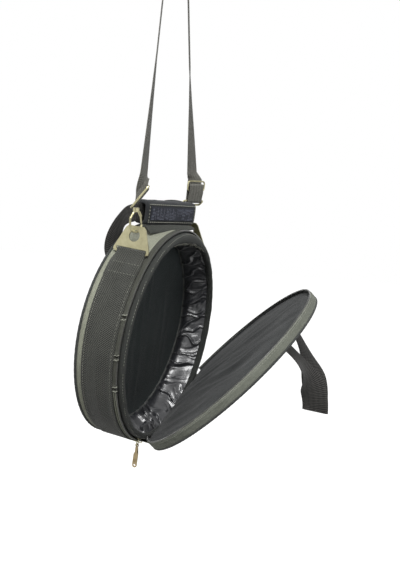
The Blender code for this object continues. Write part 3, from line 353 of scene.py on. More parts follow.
def mottled(name, first, second, scale, rough, detail=2.0, patchy=0.0, relief=(), **sockets):
    """A finish that isn't woven: two shades in patches, which may be rougher there, and relief.

    relief is the settings of a finer noise, with the strength and depth of its bumps.
    """
    made, tree, shader = new_finish(name)
    spot = add(tree, "TexCoord").outputs["Object"]
    patches = add(tree, "TexNoise", {"Vector": spot, "Scale": scale, "Detail": detail})
    shade = add(tree, "Mix", {"Factor": patches, "A": linear(first), "B": linear(second)},
                data_type='RGBA')
    if patchy:
        rough = add(tree, "Math", {0: patches, 1: patchy, 2: rough}, operation='MULTIPLY_ADD')
    feed(tree, shader, {"Base Color": shade, "Roughness": rough})
    if relief:
        settings, strength, depth = relief
        fine = add(tree, "TexNoise", {"Vector": spot, **settings})
        bump = add(tree, "Bump", {"Height": fine, "Strength": strength, "Distance": depth})
        feed(tree, shader, {"Normal": bump})
    feed(tree, shader, {key.replace("_", " "): value for key, value in sockets.items()})
    return made


# Spun polyester thread: pale grey, a little uneven from fibre to fibre.
thread_grey = mottled("grey_polyester_thread", "55564F", "8F9084", 1500.0, 0.6)


def closed_bar(bm, rings):
    """Join rings of points into a closed solid, and give its faces."""
    rings = [[bm.verts.new(point) for point in ring] for ring in rings]
    faces = [bm.faces.new(rings[0][::-1]), bm.faces.new(rings[-1])]
    for first, second in zip(rings, rings[1:]):
        for a in range(len(first)):
            b = (a + 1) % len(first)
            faces.append(bm.faces.new((first[a], first[b], second[b], second[a])))
    return faces


def facing(place, way):
    """A direction of the drawing, turned as place turns it."""
    return (place(way) - place((0, 0, 0))).normalized()


def stitches(name, line, outs, thick=THREAD, pitch=STITCH + STITCH_GAP):
    """Single stitches along a line, each bowed off the cloth. outs is one direction or a list."""
    bm = bmesh.new()
    gone = 0.0
    for i, (start, end) in enumerate(zip(line, line[1:])):
        run = (end - start).length
        if run < 1e-7:
            continue
        along = (end - start) / run
        out = outs[i] if isinstance(outs, list) else outs
        up = (out - along * out.dot(along)).normalized()
        side = along.cross(up)
        while gone < run:
            rings = []
            for s, w in STITCH_BOW:
                centre = start + along * (gone + s * STITCH) + up * thick * (w - 0.4)
                rings.append([centre + (side * cos(t) + up * sin(t)) * thick * w
                              for t in (0, pi / 2, pi, 3 * pi / 2)])
            closed_bar(bm, rings)
            gone += pitch
        gone -= run
    bmesh.ops.recalc_face_normals(bm, faces=bm.faces)
    return make_piece(name, bm, thread_grey)


def ring_line(start, end, radius, y, place, count):
    """A line round the drum, with the outward direction at each point."""
    turns = [start + (end - start) * i / count for i in range(count + 1)]
    return ([place(around(t, radius, y)) for t in turns],
            [facing(place, around(t, 1, 0)) for t in turns])


# Webbing round the side and bottom: 50 mm polypropylene in a herringbone weave, charcoal, fuzzy
# and faded where it rubs. Each end is folded round a ring's bar and sewn down double.
WEB_FRONT, WEB_BACK, WEB, GAP = 0.0080, 0.0520, 0.0015, 0.0003
RING_TURN, RING_LIFT, RING_LEAN = radians(38.0), 0.0043, radians(15.0)
RING_BAR = 0.0008
LAP = 0.036 / RADIUS

# Herringbone polypropylene: zigzag ribs, fuzzy and dark, rubbed grey where it stands out.
webbing = woven("charcoal_polypropylene_herringbone", "131412", "454641", 0.0030, 0.9, 0.9,
                pattern='herringbone', sheen=0.15, fade=0.6)


def strip(name, path, halves, thickness, finish, place=Vector, columns=10, wave=0.0):
    """Flat webbing with soft edges along a path, with half its width at each point."""
    zero, spots = place((0, 0, 0)), [place(point) for point in path]
    rows, run, last = [], 0.0, halves[0]
    for n, half in enumerate(halves):
        half = -half if half.dot(last) < 0 else half
        last = half
        up = (path[min(n + 1, len(path) - 1)] - path[max(n - 1, 0)]).cross(half)
        up, half = (place(up) - zero).normalized(), place(half) - zero
        run += (spots[n] - spots[max(n - 1, 0)]).length
        row = []
        for side in (1, -1):
            for i in range(columns + 1):
                s = side * (2 * i / columns - 1)
                rise = side * thickness / 2 * (1 - 0.55 * abs(s) ** 12)
                rise += wave * bumps(run / 0.012, s * 1.5, 1.7)
                row.append((spots[n] + half * s + up * rise, (run, s * half.length)))
        rows.append(row + row[:1])
    return skin(name, rows, finish, tube=True, sharp=radians(50))


def webbing_line():
    """The webbing from under the left ring's lap round the bottom to the right one."""
    low = RADIUS + GAP + WEB / 2
    high = low + WEB + GAP
    bend = RING_BAR + GAP + WEB / 2
    bar = around(RING_TURN, RADIUS + RING_LIFT, 0)
    along = Vector((sin(RING_LEAN), 0, cos(RING_LEAN)))
    side = Vector((cos(RING_LEAN), 0, -sin(RING_LEAN)))
    crown = bar + along * 0.0017
    half = [around(RING_TURN + LAP * s, low, 0) for s in (1.0, 0.65, 0.3, -0.05)]
    for i in range(9):
        turn = pi * i / 8
        half.append(crown + (side * cos(turn) + along * sin(turn)) * bend)
    half.append(bar - side * bend - along * 0.0034)
    over = len(half)
    half += [around(RING_TURN + LAP * s, high, 0) for s in (0.45, 0.65, 0.85, 1.0)]
    first = RING_TURN + LAP * 1.16
    half += [around(first + (pi - first) * i / 60, low, 0) for i in range(60)]
    line = half + [Vector((-p.x, p.y, p.z)) for p in reversed(half)]
    middle = Vector((0, (WEB_FRONT + WEB_BACK) / 2, 0))
    wide = Vector((0, (WEB_BACK - WEB_FRONT) / 2, 0))
    by_ring = [1 < min(i, len(line) - 1 - i) < over for i in range(len(line))]
    return [p + middle for p in line], [wide * (0.90 if near else 1.0) for near in by_ring]


sew_to(strip("webbing_side", *webbing_line(), WEB, webbing, in_bag, columns=16, wave=0.00025),
       "shell", "webbing_charcoal", "side_webbing")
end = RING_TURN + LAP * 0.95
for number, y in enumerate((WEB_FRONT + 0.003, WEB_BACK - 0.003)):
    sew_to(stitches("webbing_edge_stitches_%d" % number, *ring_line(
        end, 2 * pi - end, RADIUS + GAP + WEB, y, in_bag, 240), 0.00022),
        "shell", "webbing_charcoal")
for number, (mirror, share) in enumerate(((1, 0.50), (1, 0.92), (-1, 0.50), (-1, 0.92)), 2):
    turn = mirror * (RING_TURN + LAP * share)
    spots = [in_bag(around(turn, RADIUS + 2 * (GAP + WEB), WEB_FRONT + 0.004 + 0.037 * i / 12))
             for i in range(13)]
    sew_to(stitches("webbing_lap_stitches_%d" % number, spots, facing(in_bag, around(turn, 1, 0)),
                    0.00025), "shell", "webbing_charcoal")


# Mouth of the drum: a padded roll, bound in black cloth, that covers the foam's edge. It is sewn
# through every few millimetres and puckers there.
ROLL_OUTER, ROLL_INNER = 0.1462, 0.1382
ROLL_FRONT, ROLL_BACK = -0.0052, 0.0042
TOP_ROLL, TOP_TALL = 0.0068, 0.004      # the roll is this much fuller at the top
TOP_LEAN = 0.12                         # and fullest this far round from it

# Plain cloth of the padded rim: black and matt, its grain just to be seen.
mouth_cloth = woven("black_padded_rim_cloth", "1A1C1B", "393B38", 0.0011, 0.6, 0.8)


def at_top(turn):
    """One at the fullest place of the roll, fading fast."""
    return max(0.0, cos(turn + TOP_LEAN)) ** 14


def roll_shape(u, v):
    """Round the roll by v, round the mouth by u. It is fuller at the top, where it gathers."""
    turn, side = u * 2 * pi, v * 2 * pi
    top = at_top(turn)
    c, s = cos(side), sin(side)
    fit = (abs(c) ** 3 + abs(s) ** 3) ** (-1 / 3)
    inner = ROLL_INNER - TOP_ROLL * top
    radius = (ROLL_OUTER + inner) / 2 + c * fit * (ROLL_OUTER - inner) / 2
    y = ((ROLL_FRONT + ROLL_BACK + TOP_TALL * top) / 2
         + s * fit * (ROLL_BACK - ROLL_FRONT + TOP_TALL * top) / 2)
    gather = 0.0020 * top * sin(turn * 70 + 2 * sin(turn * 31)) * max(0.0, -c)
    uneven = 0.0006 * ripple(sin(turn) * RADIUS, s * 0.004, cos(turn) * RADIUS, 0.012)
    place = around(turn, radius + (gather + uneven) * (1 if c > 0 else -1) * abs(c), y)
    return in_bag(place + Vector((0, uneven * s, 0))), (turn * RADIUS, side * 0.0046)


sew_to(skin("mouth_roll", laid_out(roll_shape, (480, 20)), mouth_cloth, ring=True, tube=True),
       "shell", "binding_black", "band_foam", fill=0.7)


def edge_cloth_shape(u, v):
    turn = u * 2 * pi
    return (in_bag(around(turn, 0.1456 + 0.0030 * v, 0.0036 + 0.0052 * v)),
            (turn * RADIUS, v * 0.006))


sew_to(cloth("mouth_edge_cloth", edge_cloth_shape, (240, 3), mouth_cloth, 0.0005, loop=True),
       "shell", "binding_black")
forward, down = facing(in_bag, (0, -1, 0)), facing(in_bag, (0, 0, -1))
sew_to(stitches("mouth_roll_stitches", ring_line(0, 2 * pi, 0.1452, -0.0040, in_bag, 300)[0],
                forward, 0.00030), "shell", "binding_black")
for number, (share, reach) in enumerate(((0.61, 0.42), (0.565, 0.36), (0.52, 0.28))):
    out = (forward * -sin(share * 2 * pi) + down * -cos(share * 2 * pi)).normalized()
    spots = [roll_shape((reach * (i / 20 - 1) - TOP_LEAN) / (2 * pi),
                        share + 0.015 * sin(i * 0.5))[0] + out * 0.0003 for i in range(41)]
    sew_to(stitches("mouth_gather_stitches_%d" % number, spots, out, 0.0005),
           "shell", "binding_black")


# Zip: a woven tape with a row of moulded coil teeth on each side of the opening. The tape is
# tacked down at three places on the left, where it gathers into puckers.
TOOTH_PITCH = 0.0021
TOOTH = ((-0.0009, 0.0), (0.0007, 0.0), (0.0011, -0.0007), (0.0007, -0.0014),
         (-0.0009, -0.0014), (-0.0013, -0.0007))
TACKS = ((radians(71), 0.0050), (radians(90), 0.0045), (radians(106), 0.0040))
TACK_REACH, TACK_HOLE, PUCKER = 0.013, 0.0030, 0.0075
HINGE_TURN, HINGE_CHORD = radians(199.5), 0.1205        # the lid's fold, where the zip stops
FOLD_HALF = acos(HINGE_CHORD / RADIUS)
ZIP_MARGIN = 0.0008 / RADIUS
ZIP_FROM = HINGE_TURN + FOLD_HALF - 2 * pi + ZIP_MARGIN
ZIP_TO = HINGE_TURN - FOLD_HALF - ZIP_MARGIN

# Ribbed zip tape, dark and matt, and moulded nylon coil, which has small soft glints.
zip_cloth = woven("charcoal_zip_tape", "22231F", "4A4B44", 0.0009, 0.5, 0.8, pattern='rib')
coil = mottled("black_nylon_coil", "1D1E1D", "3B3C39", 700.0, 0.38, IOR=1.53)


def tack_pull(turn, y):
    """How far the cloth stands out round the tacks: lumps beside a small deep hole."""
    lift = 0.0
    for tack_turn, tack_y in TACKS:
        s, d = (turn - tack_turn) * RADIUS, y - tack_y
        far = sqrt(s * s + d * d)
        if far < TACK_REACH:
            fall = (1 - far / TACK_REACH) ** 2
            lift += 0.0030 * fall * (0.5 + 0.5 * cos(s * 2 * pi / PUCKER + pi))
            lift -= 0.0034 * max(0.0, 1 - far / TACK_HOLE)
    return lift


def zip_tape_shape(side, place, width, tuck):
    """A tape that lies round one edge of the opening, from its teeth outwards."""
    def shape(u, v):
        turn = ZIP_FROM + (ZIP_TO - ZIP_FROM) * u
        y = 0.0016 + width * v
        lift = 0.0002 - tuck * v ** 3 + 0.00025 * ripple(turn * 0.15, y, 0.3, 0.009)
        if side > 0:
            lift += tack_pull(turn, y) * (1 - v ** 4)
        return place(around(turn, RADIUS - 0.0004 + lift, y * side)), (turn * RADIUS, y)
    return shape


def teeth(name, side, place):
    """One row of coil teeth, each a small rounded block across the tape's edge."""
    bm = bmesh.new()
    count = int((ZIP_TO - ZIP_FROM) * RADIUS / TOOTH_PITCH)
    half = 0.34 * TOOTH_PITCH / RADIUS
    for i in range(count + 1):
        turn = ZIP_FROM + (ZIP_TO - ZIP_FROM) * i / count
        closed_bar(bm, [[place(around(turn + half * t, RADIUS - 0.0005 + r * shrink,
                                      (0.0026 + y * shrink) * side)) for r, y in TOOTH]
                        for t, shrink in ((-1, 0.75), (-0.6, 1), (0.6, 1), (1, 0.75))])
    bmesh.ops.recalc_face_normals(bm, faces=bm.faces)
    return make_piece(name, bm, coil, sharp=radians(45))


sew_to(cloth("zip_tape_body", zip_tape_shape(1, in_bag, 0.0086, 0.0004), (520, 10), zip_cloth,
             0.0007), "shell", "zip_tape", "body_zip_tape")
sew_to(teeth("zip_teeth_body", 1, in_bag), "shell", "zip_tape")
for number, (turn, y) in enumerate(TACKS):
    for side in (-1, 1):
        spots = [in_bag(around(turn + (s + side * 0.0030) / RADIUS,
                               RADIUS + 0.0013 - abs(i - 1.5) * 0.0003, y - 0.0026 + 0.0017 * i))
                 for i, s in enumerate((-0.0006, 0.0004, 0.0, 0.0007))]
        sew_to(stitches("zip_tack_%d_%d" % (number, side + 1), spots,
                        facing(in_bag, around(turn, 1, 0)), 0.0006, pitch=0.0017),
               "shell", "zip_tape")
for number, y in enumerate((0.0032, 0.0058)):
    sew_to(tube_ring("zip_tape_welt_%d" % number, TACKS[-1][0] + 0.03, radians(152),
                     (RADIUS + 0.0001, y, 0.00055, 0.00055), canvas, in_bag, (120, 8), rib=0.0),
           "shell", "canvas_grey")


# Side lining: shiny black nylon over soft foam, cut longer than the drum so that it gathers at
# the rim and crinkles down to the back. Its folds catch the light.
LINING_RADIUS = 0.1413
LINING_FRONT, LINING_BACK = 0.0015, 0.0428
LOW_INWARD = 0.0110             # how far the padding below holds the lining inward

# Calendered nylon taffeta: black, with sharp glints on its creases and soft ones between.
shiny = mottled("black_nylon_taffeta", "06070C", "13161D", 35.0, 0.24, patchy=0.30,
                relief=({"Scale": 160.0, "Detail": 3.0, "Distortion": 0.8}, 0.22, 0.0012),
                IOR=1.6, Specular_IOR_Level=0.75, Coat_Weight=0.5, Coat_Roughness=0.22,
                Sheen_Weight=0.2)


def lowness(rise):
    """One at the bottom of the drum, where rise is -1, and fading round its sides."""
    return (0.5 - 0.5 * max(-1.0, min(1.0, rise))) ** 1.3


def crinkle(turn, y, v):
    """Puffs between slack folds that run from the rim towards the back, with sharp creases."""
    lean = turn + 2.2 * y + 0.10 * bumps(sin(turn) * 7, cos(turn) * 7, y * 60)
    x, z = sin(lean) * LINING_RADIUS, cos(lean) * LINING_RADIUS
    broad = bumps(x / 0.040 + 3, y / 0.050, z / 0.040)
    folds = bumps(x / 0.0150 + 5, y / 0.048, z / 0.0150)
    small = bumps(x / 0.0075, y / 0.026 + 9, z / 0.0075)
    cross = bumps(x / 0.020 + 1, y / 0.0090, z / 0.020 + 4)
    tent = bumps(x / 0.024 + y * 22, y / 0.070 + 2, z / 0.024 + 7)
    calm = 0.35 + 0.65 * max(0.0, min(1.0, 0.5 + 1.6 * broad))
    puff = 1 - abs(folds) * 2.0
    crease = max(0.0, 1 - abs(small) * 4.0) ** 2
    rim = (1 - v) ** 1.5
    ridge = max(0.0, 1 - abs(tent) * 7.0) ** 1.7
    return (0.0042 * ridge * (0.5 + 0.9 * lowness(cos(turn))) + 0.0014 * (1 + broad)
            + calm * (0.0030 * puff * (0.5 + 0.7 * rim) - 0.0012 * crease * (0.4 + rim))
            + 0.0007 * cross * calm)


def side_lining_shape(u, v):
    turn = u * 2 * pi
    y = LINING_FRONT + (LINING_BACK - LINING_FRONT) * v
    ends = min(1.0, 5 * v, 5 * (1 - v))
    low = 0.5 - 0.5 * cos(turn)
    inward = ((0.0045 + 0.0035 * low) * sin(pi * v ** 1.7) + crinkle(turn, y, v) * ends ** 0.5
              + 0.0058 * at_top(turn) * max(0.0, 1 - 2.2 * v) + 0.0012 * v
              + LOW_INWARD * lowness(cos(turn)) * v * v)
    return (in_bag(around(turn, LINING_RADIUS + 0.0006 - inward, y)),
            (turn * LINING_RADIUS, y))


sew_to(cloth("lining_side", side_lining_shape, (900, 44), shiny, 0.0005, loop=True),
       "shell", "nylon_lining", "side_lining", flat=(0.045, 1.02), held="gathered",
       rests_on=["band_foam"])


# Back lining: matt dark lining cloth over the foam of the back, slack, so that it hangs in soft
# upright pleats. A bound seam joins it to the side lining.
BACK_LINING_RADIUS, BACK_LINING_Y = 0.1392, 0.0517
SEAM_RADIUS, SEAM_Y = 0.1386, 0.0498
CORNER_PAD = 0.0080             # the padding rounds the corner to the side

# Brushed polyester lining: very dark, matt and faintly green, without any glint.
matt = woven("dark_matt_lining", "1B1F20", "393F3F", 0.0008, 0.25, 0.9, fade=0.3)


def back_lining_shape(u, v):
    x, z = disc_spot(u, v, BACK_LINING_RADIUS)
    share = from_middle(x, z, BACK_LINING_RADIUS)
    fold = bumps(x / 0.0240, z / 0.150, 2.0)
    fine = bumps(x / 0.0120 + z / 0.05, z / 0.090, 6.0)
    sag = bumps(x / 0.045, z / 0.120, 4.0)
    pleat = 0.0017 * (1 - abs(fold) * 1.6) + 0.00015 * fine + 0.0014 * (1 + sag)
    low = lowness(z / max(share * BACK_LINING_RADIUS, 1e-9))
    depth = (0.0020 + pleat) * (1 - share ** 3) ** 0.6
    dish = CORNER_PAD * (share * (1 + 0.06 * low)) ** 9
    return in_bag((x, BACK_LINING_Y - 0.0006 - depth - dish, z)), (x, z)


sew_to(cloth("lining_back", back_lining_shape, (150, 110), matt, 0.0006),
       "shell", "matte_lining", "back_lining", flat=(0.284, 0.284), area=pi * 0.142 ** 2,
       held="gathered", rests_on=["back_foam"])


def at_seam(point):
    """The seam's place in the bag: lower down it is held inward."""
    drawn = 1 - LOW_INWARD * lowness(point[2] / BACK_LINING_RADIUS) / BACK_LINING_RADIUS
    return in_bag((point[0] * drawn, point[1], point[2] * drawn))


# Ribbed binding over the seam: a thin line a little paler than the linings.
seam_tape = woven("grey_seam_binding", "3A3C3B", "6E706C", 0.0012, 0.5, 0.7, pattern='rib')
sew_to(tube_ring("lining_bound_seam", 0, 2 * pi, (SEAM_RADIUS, SEAM_Y - CORNER_PAD, 0.0011, 0.0012),
                 seam_tape, at_seam, (288, 8)), "shell", "matte_lining", "lining_seam")


# Front panel in two parts with a straight fold between them. The lower part stays sewn to the
# body; the lid above it opens. Each part is canvas outside, foam, and grey lining inside.
LID_DEPTH, LINING_Y = 0.016, -0.0077
LID_OPEN = radians(42.0)
LID_AREA, LOWER_AREA = pi * RADIUS ** 2 * 0.93, 0.0031
TOWARDS_FOLD = Vector((-sin(HINGE_TURN), 0, cos(HINGE_TURN)))
FOLD_AXIS = Vector((-cos(HINGE_TURN), 0, -sin(HINGE_TURN)))
FOLD_POINT = TOWARDS_FOLD * HINGE_CHORD + Vector((0, -LID_DEPTH, 0))
OPENING = Quaternion(FOLD_AXIS, LID_OPEN).to_matrix()

# The same brushed lining, drawn darker and in broad dark and light patches: painted shade.
lid_cloth_painted_shade = woven("grey_lid_lining_painted_shade", "121415", "343636", 0.0008, 0.25, 0.85, sheen=0.08, fade=0.8)


def in_lid(point):
    """A point of the lid, drawn shut and then opened."""
    return in_bag(OPENING @ (Vector(point) - FOLD_POINT) + FOLD_POINT)


def lid_spot(u, v, chord):
    """A square's point moved to the lid's disc, cut at the fold: (along fold, away from it)."""
    t, s = disc_spot(u, v, PANEL_RADIUS)
    high = sqrt(max(PANEL_RADIUS * PANEL_RADIUS - t * t, 1e-12))
    low = -min(chord, high)
    return t, low + (s + high) / (2 * high) * (high - low) if high > 1e-5 else 0.0


def fold_place(t, s, y):
    """A point of the front panel by its place along the fold and away from it."""
    return FOLD_AXIS * t - TOWARDS_FOLD * s + Vector((0, y, 0))


def lid_canvas_shape(u, v):
    t, s = lid_spot(u, v, HINGE_CHORD - 0.0012)
    crown = 0.0010 * (1 - from_middle(t, s, PANEL_RADIUS) ** 4) + 0.0004 * ripple(t, 0, s, 0.035)
    return in_lid(fold_place(t, s, -LID_DEPTH + 0.0008 - crown)), (t, s)


def lid_lining_shape(u, v):
    t, s = lid_spot(u, v, HINGE_CHORD - 0.0010)
    share = from_middle(t, s, PANEL_RADIUS)
    fan = t / (1 + 0.30 * s / RADIUS) + 0.010 * bumps(t / 0.07, s / 0.06, 3.0)
    slack = max(0.12, 1 - (share / 0.90) ** 6) ** 0.7
    fold = bumps(fan / 0.0260, s / 0.150, 8.0)
    fine = bumps(fan / 0.0110, s / 0.100, 5.0)
    swell = 1.9 * bumps(fan / 0.050, s / 0.090, 1.0)
    pull = max(0.0, s / RADIUS) ** 2 * sin(t / 0.0036) * max(0.0, 1 - share) * 1.2
    pleat = (0.0030 * (1 - abs(fold) * 1.7) + 0.0003 * fine + 0.0018 * (1 + swell)
             + 0.0008 * pull)
    return in_lid(fold_place(t, s, LINING_Y + 0.0004 + pleat * slack)), (t, s)


sew_to(cloth("lid_outer_canvas", lid_canvas_shape, (60, 60), canvas),
       "lid", "canvas_grey", "lid_canvas", "lid_foam", flat=(0.30, 0.272), area=LID_AREA,
       held="stretched", rests_on=["lid_foam"])
sew_to(cloth("lid_inner_lining", lid_lining_shape, (170, 120), lid_cloth_painted_shade, 0.0006),
       "lid", "matte_lining", "lid_lining", flat=(0.31, 0.28), area=LID_AREA * 1.04,
       held="gathered", rests_on=["lid_foam"])


def lower_shape(y, radius, chord, out):
    """The part of the front panel below the fold. out is the side that its foam puffs to."""
    reach = sqrt(radius * radius - chord * chord) * 0.998

    def shape(u, v):
        t = reach * (2 * u - 1)
        s = -chord + (chord - sqrt(radius * radius - t * t)) * v
        puff = 0.0008 * (1 - abs(2 * u - 1) ** 3) + 0.0005 * ripple(t, 0, s, 0.02)
        return in_bag(fold_place(t, s, y + out * puff * sin(pi * v))), (t, s)
    return shape


sew_to(cloth("lower_outer_canvas", lower_shape(
    -LID_DEPTH + 0.0008, PANEL_RADIUS, HINGE_CHORD + 0.0012, -1), (60, 12), canvas),
    "shell", "canvas_grey", "lower_canvas", "lower_foam", flat=(0.172, 0.030), area=LOWER_AREA,
    held="stretched", rests_on=["lower_foam"])
sew_to(cloth("lower_inner_lining", lower_shape(
    LINING_Y + 0.0004, 0.1480, HINGE_CHORD + 0.0010, 1), (70, 14), shiny, 0.0006),
    "shell", "matte_lining", "lower_lining", flat=(0.176, 0.030), area=LOWER_AREA,
    held="stretched", rests_on=["lower_foam"])


# Rim of the front panel: a canvas band round its side, a zip tape at its mouth, a fine seam where
# the lining meets the tape, and black corded edging outside.
BAND_OUT, BAND_IN, LOWER_BAND_OUT, LOWER_BAND_IN = -0.0141, -0.0040, -0.0136, 0.0100
CORD = (0.1490, -0.0149, 0.0020, 0.0019)
CORD_GAP = 0.004 / RADIUS
LOW_FROM, LOW_TO = ZIP_TO + ZIP_MARGIN * 2.5, 2 * pi + ZIP_FROM - ZIP_MARGIN * 2.5

# Ribbed tape, paler than the body's, and canvas painted darker for shade, mottled dark and bright.
pale_tape = woven("grey_olive_zip_tape", "4C4E47", "82847B", 0.0009, 0.5, 0.8, pattern='rib')
shaded_rim_canvas = woven("olive_canvas_painted_shade", "3F4139", "70736A", 0.0011, 0.6, 0.85, fade=0.6)


def band_shape(place, start, end, out, back):
    """The canvas band round the lid's side or the lower part's side."""
    def shape(u, v):
        turn = start + (end - start) * u
        y = out + (back - out) * v
        lift = 0.0004 * ripple(turn * 0.15, y, 0.9, 0.012) - 0.0006 * abs(2 * v - 1) ** 6
        return place(around(turn, RADIUS + 0.0004 + lift, y)), (turn * RADIUS, y)
    return shape


def inner_wall_shape(u, v):
    turn = ZIP_FROM + (ZIP_TO - ZIP_FROM) * u
    y = -0.0034 - 0.0048 * v
    return in_lid(around(turn, 0.1487 - 0.0012 * v * v, y)), (turn * RADIUS, y)


sew_to(cloth("zip_tape_lid", zip_tape_shape(-1, in_lid, 0.0034, 0.0), (420, 6), pale_tape, 0.0007),
       "lid", "zip_tape", "lid_zip_tape")
sew_to(teeth("zip_teeth_lid", -1, in_lid), "lid", "zip_tape")
# The lid's band gets the darker copy of the canvas: painted shade.
sew_to(cloth("lid_band_canvas", band_shape(in_lid, ZIP_FROM, ZIP_TO, BAND_OUT, BAND_IN),
             (420, 12), shaded_rim_canvas), "lid", "canvas_grey", "lid_band",
       flat=(0.0101, 0.85), held="stretched", rests_on=["lid_foam"])
sew_to(cloth("lid_inner_wall", inner_wall_shape, (300, 5), lid_cloth_painted_shade, 0.0006),
       "lid", "matte_lining")
sew_to(stitches("lid_band_stitches", *ring_line(ZIP_FROM, ZIP_TO, RADIUS + 0.0008, -0.0055, in_lid,
                                                260), 0.00026), "lid", "canvas_grey")
spots, outs = ring_line(ZIP_FROM, ZIP_TO, 0.1476, -0.0079, in_lid, 260)
sew_to(stitches("lid_wall_stitches", spots, [-out for out in outs], 0.00026),
       "lid", "matte_lining")
sew_to(tube_ring("lid_cord_edge", ZIP_FROM + CORD_GAP, ZIP_TO - CORD_GAP, CORD, binding, in_lid,
                 (260, 10)), "lid", "binding_black", "lid_piping")
sew_to(cloth("lower_band_canvas", band_shape(
    in_bag, LOW_FROM, LOW_TO, LOWER_BAND_OUT, LOWER_BAND_IN), (90, 22), canvas),
    "shell", "canvas_grey", "lower_band", flat=(0.0238, 0.19), held="stretched",
    rests_on=["lower_foam"])
sew_to(tube_ring("lower_cord_edge", LOW_FROM + CORD_GAP, LOW_TO - CORD_GAP, CORD, binding, in_bag,
                 (70, 10)), "shell", "binding_black", "lower_piping")


# Fold between lid and lower part: the lining and the canvas run on across it, slack inside and
# creased outside.

def fold_cloth(name, y, lift, reach, dip, half, bends, rows, finish, thickness, slot, *nodes):
    """Cloth from the body's edge of the fold to the lid's, sagging by dip between them."""
    def shape(u, v):
        t = half * (2 * u - 1)
        body = in_bag(fold_place(t, -HINGE_CHORD - reach, y + lift))
        lid = in_lid(fold_place(t, -HINGE_CHORD + reach, y + lift))
        fold = in_bag(fold_place(t, -HINGE_CHORD, -LID_DEPTH))
        sag = (fold - (body + lid) / 2) * dip + Vector((0, 0, 0.0006 * ripple(t, 0, 0, 0.012)))
        return body * (1 - v) + lid * v + sag * 4 * v * (1 - v), (t, v * 2 * reach)

    made = cloth(name, shape, (90, rows), finish, thickness)
    if nodes:
        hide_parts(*nodes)
    in_bag(fold_place(0, -HINGE_CHORD - bends, y))
    in_lid(fold_place(0, -HINGE_CHORD + bends, y))
    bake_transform(made)


fold_cloth("fold_inner_lining", LINING_Y, 0.0006, 0.0035, 0.35, 0.0855, 0.004, 10, shiny, 0.0006,
           "matte_lining")
fold_cloth("fold_outer_canvas", -LID_DEPTH, 0.0002, 0.0050, 0.75, 0.0865, 0.005, 8, canvas, 0.0009,
           "canvas_grey", "hinge_fold")


# Lid handle and the two patches that hold it: black polypropylene webbing, folded under its
# patches and sewn down in a box with a cross.
HANDLE_HALF, HANDLE = 0.017, 0.0016
HANDLE_SPREAD, ANCHOR_HEIGHT = 0.055, 0.092
PATCH, PATCH_LENGTH, PATCH_EDGE = 0.0018, 0.034, 0.003
LID_HANDLE_LENGTH, LID_HANDLE_REACH, LID_HANDLE_START = 0.092, 0.047, 0.024

# Coarse ribbed polypropylene: black, its ribs rubbed a little brown.
handle_web = woven("black_handle_webbing", "141414", "3A3937", 0.0022, 0.8, 0.85, pattern='rib',
                   sheen=0.08, fade=0.4)


def eased(share):
    """From 0 to 1, slow at both ends."""
    return share * share * (3 - 2 * share)


def square_on(half, direction):
    """A width turned square on a direction."""
    return (half - direction * half.dot(direction)).normalized()


def patch_pieces(name, node, y, out, place, body):
    """Two patches sewn to the cloth at y, each with a box and a cross of stitches outside."""
    low, high = ANCHOR_HEIGHT - PATCH_LENGTH, ANCHOR_HEIGHT
    x, z0, z1 = HANDLE_HALF - PATCH_EDGE, low + PATCH_EDGE, high - PATCH_EDGE
    box = ((-x, z0), (x, z0), (x, z1), (-x, z1), (-x, z0), (x, z1), (x, z0), (-x, z1))
    for word, middle in (("_left", -HANDLE_SPREAD), ("_right", HANDLE_SPREAD)):
        path = [Vector((middle, y + out * PATCH / 2, low + (high - low) * i / 8))
                for i in range(9)]
        sew_to(strip(name + word, path, [Vector((HANDLE_HALF, 0, 0))] * 9, PATCH * 0.96,
                     handle_web, place, columns=8), body, "webbing_charcoal", node + word)
        sew_to(stitches(name + "_stitches" + word, [place((middle + a, y + out * PATCH, b))
                                                    for a, b in box],
                        facing(place, (0, out, 0))), body, "webbing_charcoal")


patch_pieces("lid_handle_patch", "lid_patch", -LID_DEPTH - GAP, -1, in_lid, "lid")


def lid_handle_line():
    """The handle, drawn on the shut lid: out square from the patches, then hanging down."""
    hinge = Vector((0, -LID_DEPTH - PATCH - GAP - HANDLE / 2, ANCHOR_HEIGHT))
    shut = Quaternion(FOLD_AXIS, -LID_OPEN)
    drop = shut @ Vector((0, -sin(HANG), -cos(HANG)))
    ahead = shut @ Vector((0, -1, 0))
    runs = []
    for sign in (-1, 1):
        foot = Vector((sign * HANDLE_SPREAD, hinge.y, hinge.z))
        start = foot + Vector((-sign * 0.012, -LID_HANDLE_START, 0))
        bottom = hinge + ahead * LID_HANDLE_REACH + drop * LID_HANDLE_LENGTH
        bottom += Vector((sign * HANDLE_HALF, 0, 0))
        knee = bottom - drop * LID_HANDLE_LENGTH / 2
        runs.append([foot * (1 - t) ** 3 + start * 3 * (1 - t) ** 2 * t
                     + knee * 3 * (1 - t) * t * t + bottom * t ** 3
                     for t in [i / 23 for i in range(24)]])
    points = runs[0] + runs[1][::-1]
    last = len(points) - 1
    halves = []
    for i in range(len(points)):
        direction = (points[min(i + 1, last)] - points[max(i - 1, 0)]).normalized()
        if i in (0, last):
            direction = Vector((0, -1 if i == 0 else 1, 0))
        turned = (min(i, last - i) / (len(points) / 2 - 1)) ** 1.7
        across = Vector((1, 0, 0)).lerp(ahead, eased(turned))
        halves.append(square_on(across, direction) * HANDLE_HALF)
    return points, halves


sew_to(strip("lid_handle_webbing", *lid_handle_line(), HANDLE, handle_web, in_lid),
       "lid_handle", "webbing_charcoal", "lid_handle")


